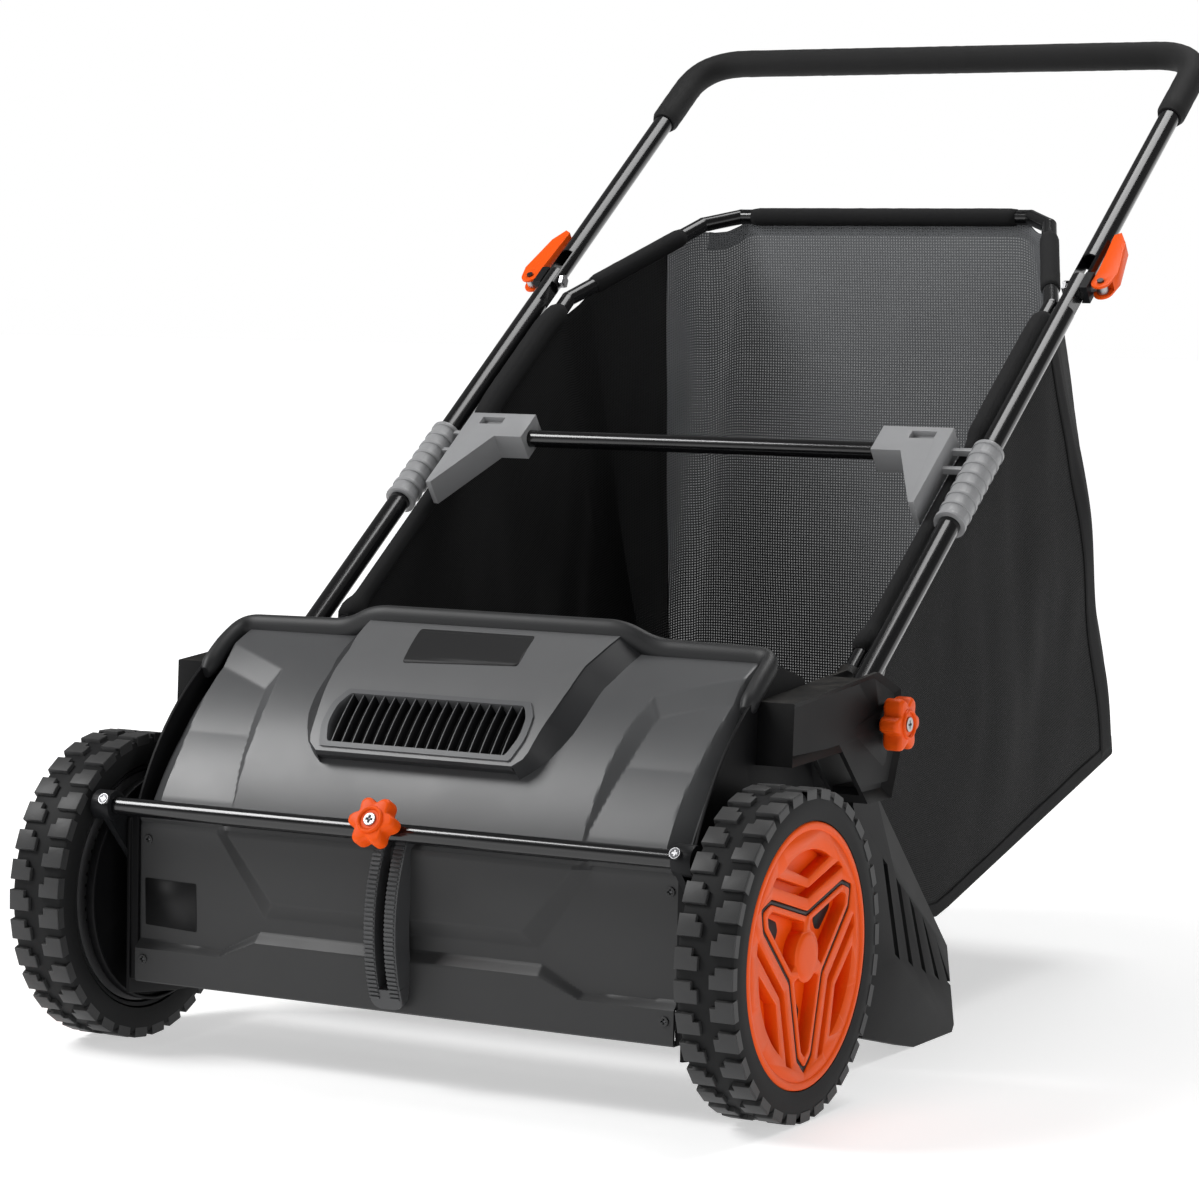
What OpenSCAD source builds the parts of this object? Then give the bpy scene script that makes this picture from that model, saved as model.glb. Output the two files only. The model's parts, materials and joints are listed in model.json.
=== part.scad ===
// Push lawn sweeper: two ground wheels drive a rotary brush that throws leaves into a fabric bag.
// +Z is up, the front faces -Y, +X is the right-hand side seen from the front.
// The origin is on the floor, in the middle of the length and the width.

/* [Overall size] */
// Length from the front of the tyres to the back of the grip
overall_l = 1120; // [1000:5:1400]
// Width over the wheels
overall_w = 670; // [560:5:840]
// Height of the grip's top above the floor
overall_h = 900; // [780:5:1100]

/* [Wheels] */
// Outer radius of the tyre, over its lugs
wheel_r = 130; // [115:1:150]
// Width of the tyre
tyre_w = 50; // [40:1:60]
// Outer radius of the wheel disc inside the tyre
disc_r = 104; // [100:1:110]
// Radius of the stub axle
axle_r = 6; // [5:0.5:8]
// Radius of the hub and its cap
hub_r = 19; // [16:1:24]

/* [Brush drive] */
// Module of the ring gear and pinions
gear_module = 3; // [2.5:0.1:3.1]
// Teeth of the ring gear inside each wheel
ring_teeth = 56; // [50:1:58]
// Teeth of each pinion on the brush shaft
pinion_teeth = 14; // [12:1:18]
// Face width of the gears
gear_w = 14; // [8:1:18]
// Outer radius of the brush
brush_r = 92; // [76:1:122]
// Radius of the brush shaft
shaft_r = 6; // [5:0.5:8]
// Number of bristle strips
bristle_rows = 6; // [4:1:8]

/* [Housing] */
// Wall thickness of the plastic mouldings
wall = 3; // [2:0.5:5]
// Outer radius of the curved hood
hood_r = 252; // [244:1:270]
// Height that the bonnet stands above the hood
bonnet_rise = 15; // [10:1:20]
// Half width of the bonnet at its front edge
bonnet_front = 95; // [70:1:120]
// Half width of the bonnet at the rear rim
bonnet_rear = 122; // [100:1:150]
// Number of slats in the vent grille
slat_count = 17; // [9:2:25]
// Height of the housing's lower edge above the floor
ground_gap = 62; // [40:1:80]

/* [Height adjuster] */
// Diameter of the front bar
bar_d = 15; // [12:1:18]
// Distance from the brush shaft to the front bar
bar_orbit = 164; // [160:1:180]
// Lift of the front bar above level, in degrees, seen from the brush shaft
bar_angle = 28.5; // [22:0.5:32]
// Width of the toothed quadrant
quadrant_w = 30; // [24:1:40]
// Diameter of the height knob over its lobes
height_knob_d = 43; // [36:1:50]

/* [Handle] */
// Diameter of the handle tubes
tube_d = 20; // [16:1:24]
// Slope of the handle above level, in degrees
handle_angle = 36.5; // [32:0.5:42]
// Bend radius at the handle's top corners
handle_bend = 52; // [40:1:70]
// Outer diameter of the foam grip
foam_d = 28; // [26:1:36]
// Distance from the grip down to the cam lever bolts
lever_s = 394; // [340:1:440]
// Distance from the grip down to the cross tube
cross_s = 652; // [600:1:700]
// Diameter of the cross tube
cross_d = 16; // [12:1:18]
// Wall thickness of every steel tube
tube_wall = 1.5; // [1:0.25:2.5]
// Length of a cam lever beyond its pin
lever_len = 78; // [60:1:90]
// Radius of the clamp bolts
bolt_r = 4; // [3:0.5:5]
// Diameter of the bracket knobs over their lobes
bracket_knob_d = 48; // [40:1:56]

/* [Bag] */
// Diameter of the bag frame's tube
bag_tube_d = 15; // [12:1:16]
// Drop of the bag frame below the handle tubes
bag_drop = 9; // [8:1:14]
// Thickness of the bag's fabric and lining
bag_t = 3; // [2:0.5:5]
// Half width of the bag frame's rear bar
rear_bar_half = 158; // [120:1:200]

/* [Fits] */
// Radial clearance of turning and sliding fits
run = 0.06; // [0.03:0.01:0.1]
// Gap between parts that pass each other
gap = 0.5; // [0.3:0.1:1]

/* [Hidden] */
$fn = 64;
eps = 0.01;

// Sideways stations, from the wheel's outer face inwards
wheel_out = overall_w / 2;
wheel_in = wheel_out - tyre_w;
arm_space = 23;
side_x = wheel_in - arm_space;
arm_x = side_x + 2;
arm_t = 6;
cover_x = wheel_in - 6;
cover_t = 3;
gear_x = wheel_in + 4;
hood_half = side_x - 6;
panel_half = side_x - 9;

// The wheel axle and the brush shaft
axle_y = -overall_l / 2 + wheel_r;
axle_z = wheel_r;
gear_c = gear_module * (ring_teeth - pinion_teeth) / 2;
brush_y = axle_y + gear_c;
brush_z = axle_z;

// The hood's arc, its front and rear edges
hood_y = brush_y + 112.6;
hood_z = brush_z - 21;
hood_front_a = 21;
hood_rear_a = 72.6;
bonnet_front_a = 33;
rim_a = 68.5;
rim_rise = 8;
panel_y = brush_y - 129;
vent_a0 = 36;
vent_a1 = 48;
vent_half = bonnet_front - 11;

// The tubes' places
tube_r = tube_d / 2;
grip_y = overall_l / 2 - foam_d / 2;
grip_z = overall_h - foam_d / 2;
bracket_in = side_x;
bracket_wall = 4;
tube_x = bracket_in + bracket_wall + 2 + tube_r;
bracket_out = tube_x + tube_r + 2 + bracket_wall;
foot_out = side_x + 19;
bag_tube_r = bag_tube_d / 2;
bag_tube_x = bracket_in - 6.5;
fold_clear = 40;
tongue_t = 0.6 * tube_d;
sleeve_r = tube_r + 4.5;
sleeve_top = cross_s - 11;
sleeve_len = 102;
cross_n = 6;
block_out = bag_tube_x - bag_tube_r - 1.5;
block_in = block_out - 68;

// The fold bolt of the lower handle, below the tube's axis
fold_drop = 32;
fold_s = 961.5;
fold_y = grip_y - fold_s * cos(handle_angle) + fold_drop * sin(handle_angle);
fold_z = grip_z - fold_s * sin(handle_angle) - fold_drop * cos(handle_angle);
tube_end_s = fold_s + 14;

// The bag frame and the bag's corners
socket_s = fold_s - 8;
bend_s = 411;
bag_rear_y = grip_y - 143;
bag_rear_z = grip_z - 165;
bag_bend_x = rear_bar_half + 30;
bag_bend_y = bag_rear_y - 26;
bag_bend_z = bag_rear_z - 9;
bag_half = bag_tube_x - 0.5;
bag_hem = bag_drop + bag_tube_r + 1;

// ---- Helpers ----

// A point at radius r and angle a above level, in front of a centre (y, z)
function ahead(c, r, a) = [c[0] - r * cos(a), c[1] + r * sin(a)];

// The point at distance s below the grip along the handle, and n above its plane
function handle_pt(s, n = 0) = [grip_y - s * cos(handle_angle) - n * sin(handle_angle),
    grip_z - s * sin(handle_angle) + n * cos(handle_angle)];

// Mirrors a right-hand shape to the left for side = -1
module on_side(side) {
    mirror([side < 0 ? 1 : 0, 0, 0]) children();
}

// Extrudes a (y, z) outline from x0 to x1
module along_x(x0, x1) {
    translate([x0, 0, 0]) rotate([90, 0, 90]) linear_extrude(x1 - x0) children();
}

// A cylinder along X
module rod_x(r, x0, x1, y, z) {
    translate([x0, y, z]) rotate([0, 90, 0]) cylinder(h = x1 - x0, r = r);
}

// A rod between two points
module rod_between(p, q, r) {
    d = q - p;
    h = norm(d);
    translate(p) rotate([0, acos(d[2] / h), atan2(d[1], d[0])]) cylinder(h = h, r = r);
}

// A frame whose Y runs up the handle and whose Z is normal to the handle's plane
module on_handle(s) {
    translate([0, grip_y - s * cos(handle_angle), grip_z - s * sin(handle_angle)])
        rotate([handle_angle, 0, 0]) children();
}

// A cylinder along Y, upwards from y0 to y1
module rod_y(r, y0, y1) {
    translate([0, y0, 0]) rotate([-90, 0, 0]) cylinder(h = y1 - y0, r = r);
}

// A ring sector about a centre (y, z), between two radii and two angles
module sector(c, r0, r1, a0, a1) {
    mid = (a0 + a1) / 2;
    reach = 1.5 * r1;
    intersection() {
        translate(c) difference() {
            circle(r = r1, $fn = 180);
            circle(r = r0, $fn = 180);
        }
        polygon([c, ahead(c, reach, a0), ahead(c, reach, mid), ahead(c, reach, a1)]);
    }
}

// A flat link: two round ends and the web between them
module link(p, rp, q, rq) {
    d = (q - p) / norm(q - p);
    n = [-d[1], d[0]];
    translate(p) circle(r = rp);
    translate(q) circle(r = rq);
    polygon([p + rp * n, q + rq * n, q - rq * n, p - rp * n]);
}

// A star knob's outline with six lobes
module knob_outline(d) {
    circle(r = 0.36 * d);
    for (i = [0:5])
        rotate(60 * i) hull() {
            translate([0.2 * d, 0]) circle(r = 0.13 * d, $fn = 24);
            translate([0.37 * d, 0]) circle(r = 0.13 * d, $fn = 24);
        }
}

// ---- Gear teeth ----

// Half the angle of a tooth at radius r, for an involute of 20 degrees pressure
function inv(a) = tan(a) - a * PI / 180;
function tooth_half(r, pitch_r, teeth, shift) =
    let (base_r = pitch_r * cos(20))
    let (at_r = r > base_r ? acos(base_r / r) : 0)
    (90 / teeth) + (inv(20) - inv(at_r)) * 180 / PI + shift / pitch_r * 90 / PI;

// The outline of a gear with teeth from root to tip, thickened by shift
function gear_points(teeth, root_r, tip_r, shift) =
    let (pitch_r = gear_module * teeth / 2)
    let (mid_r = (root_r + tip_r) / 2)
    [for (i = [0:teeth - 1]) for (k = [-3, -2, -1, 1, 2, 3])
        let (r = abs(k) == 3 ? root_r : (abs(k) == 2 ? mid_r : tip_r))
        let (a = 360 / teeth * i + sign(k) * tooth_half(r, pitch_r, teeth, shift))
        [r * cos(a), r * sin(a)]];

pinion_pitch = gear_module * pinion_teeth / 2;
ring_pitch = gear_module * ring_teeth / 2;
ring_root = ring_pitch + 1.3 * gear_module;
ring_out = disc_r - 6;

module pinion(side) {
    color("dimgray") on_side(side) difference() {
        translate([gear_x, brush_y, brush_z]) rotate([90, 0, 90]) linear_extrude(gear_w)
            polygon(gear_points(pinion_teeth, pinion_pitch - 1.2 * gear_module,
                pinion_pitch + 0.95 * gear_module, -0.35));
        rod_x(shaft_r + (side < 0 ? run : 0), gear_x - 1, gear_x + gear_w + 1, brush_y, brush_z);
    }
}

module ring_gear(side) {
    color("dimgray") on_side(side) difference() {
        rod_x(ring_out, gear_x, gear_x + gear_w, axle_y, axle_z);
        translate([gear_x - 1, axle_y, axle_z]) rotate([90, 0, 90]) linear_extrude(gear_w + 2)
            polygon(gear_points(ring_teeth, ring_pitch - 0.95 * gear_module, ring_root, 0.35));
    }
}

// ---- Wheels ----

module tyre(side) {
    shoulder = 5;
    color("#202022") on_side(side) translate([wheel_in, axle_y, axle_z]) rotate([0, 90, 0])
        rotate_extrude($fn = 96) polygon([[disc_r, 0], [wheel_r - shoulder, 0], [wheel_r, shoulder],
            [wheel_r, tyre_w - shoulder], [wheel_r - shoulder, tyre_w], [disc_r, tyre_w]]);
}

module wheel_disc(side) {
    face_in = wheel_out - 13;
    face_out = wheel_out - 6;
    color("#e8491b") on_side(side) difference() {
        union() {
            rod_x(disc_r, gear_x - 2, wheel_out - 2, axle_y, axle_z);
        }
        difference() {
            rod_x(ring_out, gear_x - 3, face_in, axle_y, axle_z);
            rod_x(hub_r, gear_x - 4, wheel_out, axle_y, axle_z);
        }
        difference() {
            rod_x(disc_r - 9, face_out, wheel_out, axle_y, axle_z);
            rod_x(hub_r + 3, face_out - 1, wheel_out - 4, axle_y, axle_z);
            for (i = [0:2])
                translate([0, axle_y, axle_z]) rotate([120 * i - 90, 0, 0])
                    translate([face_out - 1, 0, -13]) cube([4, disc_r - 14, 26]);
        }
        rod_x(hub_r, wheel_out - 4, wheel_out, axle_y, axle_z);
        rod_x(axle_r + 3, gear_x - 3, wheel_out, axle_y, axle_z);
        rod_x(axle_r + 8, wheel_out - 16, wheel_out, axle_y, axle_z);
    }
}

module wheel_bush(side) {
    color("white") on_side(side) difference() {
        rod_x(axle_r + 3, gear_x - 2, wheel_out - 17, axle_y, axle_z);
        rod_x(axle_r + run, gear_x - 3, wheel_out - 16, axle_y, axle_z);
    }
}

module hub_cap(side) {
    color("#f25a26") on_side(side) {
        rod_x(hub_r, wheel_out - 4, wheel_out, axle_y, axle_z);
        difference() {
            rod_x(axle_r + 8, wheel_out - 9, wheel_out - 4, axle_y, axle_z);
            rod_x(axle_r + 6.5, wheel_out - 10, wheel_out - 4 - eps, axle_y, axle_z);
        }
    }
}

// ---- Wheel carrier: arms, front bar, axles and gear covers ----

axle_p = [axle_y, axle_z];
brush_p = [brush_y, brush_z];
bar_p = ahead(brush_p, bar_orbit, bar_angle);
pivot_r = 20;
lug_r = bar_d / 2 + 5;

module wheel_arm(side) {
    color("#1b1b1d") on_side(side) difference() {
        union() {
            along_x(arm_x, arm_x + arm_t) link(brush_p, pivot_r + 6, axle_p, 20);
            along_x(arm_x, arm_x + arm_t) link(axle_p, 20, bar_p, lug_r);
            rod_x(14, arm_x, cover_x, axle_y, axle_z);
            rod_x(lug_r, side_x, cover_x, bar_p[0], bar_p[1]);
        }
        rod_x(pivot_r + run, arm_x - 1, arm_x + arm_t + 1, brush_y, brush_z);
        rod_x(axle_r, arm_x - 1, cover_x + 1, axle_y, axle_z);
        rod_x(bar_d / 2, side_x - 1, side_x + 8, bar_p[0], bar_p[1]);
        translate([side_x + 4, bar_p[0], bar_p[1]]) rotate([90 - bar_angle, 0, 0])
            cylinder(h = lug_r + 1, r = 2);
    }
}

module front_bar() {
    color("#141415") difference() {
        rod_x(bar_d / 2, -side_x - 8, side_x + 8, bar_p[0], bar_p[1]);
        rod_x(bar_d / 2 - tube_wall, -side_x - 9, side_x + 9, bar_p[0], bar_p[1]);
        translate([0, bar_p[0], bar_p[1]]) rotate([90 - bar_angle, 0, 0])
            cylinder(h = bar_d + 2, r = bolt_r, center = true);
        for (s = [-1, 1])
            translate([s * (side_x + 4), bar_p[0], bar_p[1]]) rotate([90 - bar_angle, 0, 0])
                translate([0, 0, -3]) cylinder(h = bar_d, r = 2);
    }
}

// Pan-head screws that hold the bar in the arms' lugs
module bar_screws() {
    color("silver") for (s = [-1, 1])
        translate([s * (side_x + 4), bar_p[0], bar_p[1]]) rotate([90 - bar_angle, 0, 0]) {
            translate([0, 0, -3]) cylinder(h = lug_r + 3, r = 2);
            translate([0, 0, lug_r]) cylinder(h = 2.5, r = 4.5);
        }
}

module stub_axles() {
    color("silver") for (s = [-1, 1])
        on_side(s) {
            rod_x(axle_r, arm_x, wheel_out - 10, axle_y, axle_z);
        }
}

module axle_nuts() {
    color("silver") for (s = [-1, 1])
        on_side(s) difference() {
            union() {
                rod_x(axle_r + 5, wheel_out - 16, wheel_out - 14.5, axle_y, axle_z);
                translate([wheel_out - 14.5, axle_y, axle_z]) rotate([0, 90, 0])
                    cylinder(h = 4, r = axle_r + 4, $fn = 6);
            }
            rod_x(axle_r, wheel_out - 17, wheel_out, axle_y, axle_z);
        }
}

module gear_cover(side) {
    cover_r = ring_out - 2;
    color("#18181a") on_side(side) difference() {
        union() {
            rod_x(cover_r, cover_x, cover_x + cover_t, axle_y, axle_z);
            difference() {
                rod_x(cover_r, cover_x - 5, cover_x, axle_y, axle_z);
                rod_x(cover_r - 3, cover_x - 6, cover_x, axle_y, axle_z);
            }
        }
        rod_x(axle_r, cover_x - 1, cover_x + cover_t + 1, axle_y, axle_z);
        rod_x(shaft_r + 3, cover_x - 1, cover_x + cover_t + 1, brush_y, brush_z);
    }
}

// Clamp bolt of the height adjuster: its T-head slides behind the quadrant
module height_bolt() {
    color("silver") translate([0, brush_y, brush_z]) rotate([90 - bar_angle, 0, 0]) {
        translate([0, 0, bar_orbit - 20]) cylinder(h = 58, r = bolt_r);
        translate([-9, -6, bar_orbit - 22]) cube([18, 12, 3]);
    }
}

module height_knob() {
    color("#f0521f") translate([0, brush_y, brush_z]) rotate([90 - bar_angle, 0, 0]) difference() {
        union() {
            translate([0, 0, bar_orbit + bar_d / 2 + gap]) cylinder(h = 8, r = 9);
            translate([0, 0, bar_orbit + bar_d / 2 + 8]) linear_extrude(15) knob_outline(height_knob_d);
            translate([0, 0, bar_orbit + bar_d / 2 + 22]) cylinder(h = 4, r = 0.26 * height_knob_d);
        }
        cylinder(h = bar_orbit + 60, r = bolt_r + run);
    }
}

// ---- Housing ----

hood_c = [hood_y, hood_z];
hood_front = ahead(hood_c, hood_r, hood_front_a);
hood_rear = ahead(hood_c, hood_r, hood_rear_a);

// A block of plan width that grows from the bonnet's front edge to the rear rim
module bonnet_plan(inset) {
    front_y = ahead(hood_c, hood_r + bonnet_rise, bonnet_front_a)[0];
    rear_y = hood_rear[0];
    far = rear_y + 40;
    grow = (bonnet_rear - bonnet_front) / (rear_y - front_y) * 40;
    translate([0, 0, hood_z]) linear_extrude(hood_r + 60) polygon([
        [-bonnet_front + inset, front_y - 20], [bonnet_front - inset, front_y - 20],
        [bonnet_rear + grow - inset, far], [-bonnet_rear - grow + inset, far]]);
}

module hood() {
    notch = quadrant_w / 2 + gap;
    color("#4a4a4d") difference() {
        union() {
            difference() {
                along_x(-hood_half, hood_half) sector(hood_c, hood_r - wall, hood_r, hood_front_a, hood_rear_a);
                intersection() {
                    along_x(-hood_half, hood_half)
                        sector(hood_c, hood_r - 2 * wall, hood_r + 1, bonnet_front_a + 1, rim_a);
                    bonnet_plan(wall);
                }
            }
            intersection() {
                along_x(-hood_half, hood_half)
                    sector(hood_c, hood_r - wall, hood_r + bonnet_rise, bonnet_front_a, hood_rear_a);
                difference() {
                    bonnet_plan(0);
                    intersection() {
                        bonnet_plan(wall);
                        along_x(-hood_half, hood_half) sector(hood_c, hood_r - 2 * wall,
                            hood_r + bonnet_rise - wall, bonnet_front_a + 0.7, hood_rear_a + 1);
                    }
                }
            }
            along_x(-side_x, side_x) sector(hood_c, hood_r - wall, hood_r + rim_rise, rim_a, hood_rear_a);
            intersection() {
                along_x(-hood_half, hood_half) sector(hood_c, hood_r + bonnet_rise - wall,
                    hood_r + bonnet_rise + rim_rise, rim_a, hood_rear_a);
                bonnet_plan(-3);
            }
        }
        along_x(-vent_half, vent_half)
            sector(hood_c, hood_r + 1, hood_r + bonnet_rise + 2, vent_a0, vent_a1);
        translate([-notch, hood_front[0] - 20, hood_front[1] - 20]) cube([2 * notch, 60, 44]);
    }
}

module vent_grille() {
    out_r = hood_r + bonnet_rise - 0.5;
    pitch = 2 * (vent_half - 3) / (slat_count + 1);
    color("#77777a") {
        difference() {
            along_x(-vent_half, vent_half) sector(hood_c, out_r - 8, out_r, vent_a0, vent_a1);
            along_x(3 - vent_half, vent_half - 3)
                sector(hood_c, out_r - 9, out_r + 1, vent_a0 + 0.6, vent_a1 - 0.6);
        }
        for (i = [1:slat_count])
            translate([i * pitch + 3 - vent_half, 0, 0]) along_x(-0.9, 0.9)
                sector(hood_c, out_r - 8, out_r - 2, vent_a0 + 0.5, vent_a1 - 0.5);
    }
}

module front_panel() {
    slot = 11;
    top_z = hood_front[1] - 2;
    color("#39393b") difference() {
        union() {
            translate([-panel_half, panel_y, ground_gap]) cube([2 * panel_half, wall, top_z - ground_gap]);
            translate([-panel_half, panel_y, ground_gap]) cube([2 * panel_half, 14, wall]);
            translate([-panel_half, panel_y, top_z - wall]) cube([2 * panel_half, 9, wall]);
        }
        translate([-slot, panel_y - 1, ground_gap + 12]) cube([2 * slot, 20, 200]);
    }
}

// The side plate's outline follows the panel and the hood, and leaves the rear open
module side_outline() {
    rear_edge = hood_rear + [34, -20];
    polygon(concat(
        [[panel_y, ground_gap - 12], [panel_y, hood_front[1] - 4]],
        [for (a = [hood_front_a + 1:3:hood_rear_a]) ahead(hood_c, hood_r - wall - 0.2, a)],
        [rear_edge, [brush_y + 100, brush_z + 70], [brush_y + 122, brush_z - 20],
            [brush_y + 90, ground_gap - 20], [brush_y - 60, ground_gap - 20]]));
}

module side_plate(side) {
    color("#19191b") on_side(side) difference() {
        union() {
            along_x(side_x - wall, side_x) side_outline();
            along_x(panel_half, side_x) intersection() {
                side_outline();
                difference() {
                    translate([panel_y + wall + 0.2, ground_gap]) square([400, 400]);
                    translate([panel_y + 2 * wall + 0.2, ground_gap + wall]) square([400, 400]);
                }
            }
            rod_x(pivot_r, side_x - 8, arm_x + arm_t + 0.5, brush_y, brush_z);
        }
        rod_x(shaft_r + 4, side_x - 9, arm_x + arm_t + 2, brush_y, brush_z);
    }
}

module height_quadrant() {
    teeth = 26;
    tooth_low = -21;
    tooth_pitch = 2;
    face_r = bar_orbit - bar_d / 2 - 4;
    low = ground_gap + 4;
    color("#29292b") difference() {
        union() {
            along_x(-quadrant_w / 2, quadrant_w / 2) intersection() {
                translate(brush_p) circle(r = face_r, $fn = 180);
                translate([panel_y - 60, low]) square([60, hood_front[1] + 10 - low]);
            }
            for (i = [0:teeth - 1])
                translate([0, brush_y, brush_z]) rotate([90 - tooth_low - tooth_pitch * i, 0, 0])
                    translate([-quadrant_w / 2, -1.2, face_r - 2]) cube([quadrant_w, 2.4, 3.6]);
        }
        along_x(4 - quadrant_w / 2, quadrant_w / 2 - 4) translate(brush_p) circle(r = face_r - 5, $fn = 180);
        along_x(-bolt_r - 0.4, bolt_r + 0.4) sector(brush_p, face_r - 10, face_r + 5, -20, bar_angle + 12);
    }
}

module shaft_bushes() {
    color("white") for (s = [-1, 1])
        on_side(s) difference() {
            rod_x(shaft_r + 4, side_x - 8, arm_x + arm_t + 1, brush_y, brush_z);
            rod_x(shaft_r + run, side_x - 9, arm_x + arm_t + 2, brush_y, brush_z);
        }
}

// Outline of a rear bracket's head, from the housing back to the handle's fold bolt
head_low = brush_z + 138;
function head_points() = [[brush_y - 15, head_low], [brush_y - 13, head_low + 50],
    [fold_y - 16, fold_z + 43], [fold_y + 28, fold_z + 26], [fold_y + 38, fold_z - 8],
    [fold_y + 14, fold_z - 64], [fold_y - 32, fold_z - 64], [brush_y + 77, head_low + 4]];

// Outline of the leg and foot that stand behind the wheel
function leg_points() = [[fold_y - 32, fold_z - 62], [fold_y + 14, fold_z - 62],
    [fold_y + 167, 78], [fold_y + 186, 6], [fold_y + 182, 0], [fold_y + 100, 0],
    [fold_y - 4, 25], [fold_y, 80]];

module rear_bracket(side) {
    cap = 4;
    louvre = 10;
    cap_end = fold_y - 44;
    color("#232325") on_side(side) difference() {
        union() {
            along_x(bracket_out - bracket_wall, bracket_out) polygon(head_points());
            along_x(bracket_in, bracket_in + bracket_wall) polygon(head_points());
            intersection() {
                along_x(bracket_in, bracket_out) polygon(head_points());
                union() {
                    translate([0, brush_y - 20, head_low + 4]) rotate([4, 0, 0])
                        translate([bracket_in, 0, 42]) cube([60, cap_end - brush_y + 20, 30]);
                    translate([bracket_in, brush_y - 20, head_low]) cube([60, 12, 80]);
                    translate([bracket_in, brush_y - 20, head_low - 2])
                        cube([60, fold_y - 60 - brush_y, 10]);
                    translate([bracket_in, fold_y - 40, fold_z - 70]) cube([60, 60, 20]);
                }
            }
            along_x(foot_out - bracket_wall, foot_out) polygon(leg_points());
            along_x(bracket_in, foot_out) polygon([[fold_y - 32, fold_z - 62], [fold_y - 22, fold_z - 62],
                [fold_y + 12, 80], [fold_y + 106, 12], [fold_y + 184, 12], [fold_y + 182, 0],
                [fold_y + 100, 0], [fold_y - 4, 25], [fold_y, 80]]);
            along_x(bracket_in, foot_out) polygon([[fold_y + 6, fold_z - 62], [fold_y + 14, fold_z - 62],
                [fold_y + 167, 78], [fold_y + 186, 6], [fold_y + 178, 6], [fold_y + 160, 74]]);
            along_x(bracket_in, foot_out) polygon([[fold_y - 32, fold_z - 68], [fold_y + 14, fold_z - 68],
                [fold_y + 14, fold_z - 58], [fold_y - 32, fold_z - 58]]);
            on_handle(socket_s) translate([bag_tube_x, 0, -bag_drop])
                rod_y(bag_tube_r + 3, -4, 24);
            rod_x(10, bracket_in - 2, bracket_in + bracket_wall, fold_y, fold_z);
        }
        rod_x(bolt_r, bracket_in - 10, bracket_out + 1, fold_y, fold_z);
        on_handle(socket_s) translate([bag_tube_x, 0, -bag_drop]) rod_y(bag_tube_r + run, 0, 30);
        for (i = [0:4])
            along_x(foot_out - bracket_wall - 1, foot_out + 1) polygon([
                [fold_y + 28 + 28 * i, 172 - 20 * i], [fold_y + 28 + 28 * i + louvre, 165 - 22 * i],
                [fold_y + 58 + 28 * i + louvre, 80 - 10 * i], [fold_y + 58 + 28 * i, 86 - 10 * i]]);
    }
}

module rear_tie_rod() {
    color("#141415") rod_x(6, -side_x, side_x, fold_y + 14, 60);
}

module bracket_bolts() {
    color("silver") for (s = [-1, 1])
        on_side(s) {
            rod_x(bolt_r, bracket_in - 3, bracket_out + 18, fold_y, fold_z);
            rod_x(2 * bolt_r, bracket_in - 6, bracket_in - 2, fold_y, fold_z);
        }
}

// Screws that hold the brackets to the side plates
module bracket_screws() {
    color("silver") for (s = [-1, 1]) for (p = [[brush_y + 2, head_low + 25], [brush_y + 24, head_low + 25]])
        on_side(s) {
            rod_x(4.5, side_x - wall - 2.5, side_x - wall, p[0], p[1]);
        }
}

// Screws along the ends of the front panel
module panel_screws() {
    color("#2b2b2d") for (s = [-1, 1]) for (z = [ground_gap + 18, hood_front[1] - 20])
        translate([s * (panel_half - 8), panel_y, z]) rotate([90, 0, 0]) cylinder(h = 1.6, r = 3.5);
}

// ---- Brush ----

strip_t = 8;
core_r = 16;
brush_half = panel_half - 8;

pin_hole_r = 1.5;
drive_pin_x = gear_x + gear_w + 2;

module brush_shaft() {
    reach = drive_pin_x + 2;
    color("silver") difference() {
        rod_x(shaft_r, -reach, reach, brush_y, brush_z);
        for (s = [-1, 1])
            translate([s * drive_pin_x, brush_y, brush_z])
                cylinder(h = 3 * shaft_r, r = pin_hole_r, center = true);
    }
}

module brush_core() {
    color("#2a2a2c") translate([0, brush_y, brush_z]) difference() {
        union() {
            rotate([0, 90, 0]) cylinder(h = 2 * brush_half, r = core_r, center = true);
            for (i = [0:bristle_rows - 1])
                rotate([360 / bristle_rows * i, 0, 0])
                    translate([-brush_half, -7, core_r - 2]) cube([2 * brush_half, 14, 20]);
        }
        rotate([0, 90, 0]) cylinder(h = 2 * brush_half + 2, r = shaft_r, center = true);
    }
}

module bristle_strips() {
    color("#101011") translate([0, brush_y, brush_z]) for (i = [0:bristle_rows - 1])
        rotate([360 / bristle_rows * i, 0, 0])
            translate([-brush_half, -strip_t / 2, core_r + 18]) cube([2 * brush_half, strip_t, brush_r - core_r - 18]);
}

// Cross pins that drive the brush from its pinion through a one-way pawl
module drive_pins() {
    color("silver") for (s = [-1, 1])
        on_side(s) translate([drive_pin_x, brush_y, brush_z])
            cylinder(h = 4.3 * shaft_r, r = pin_hole_r, center = true);
}

// ---- Handle ----

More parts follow.
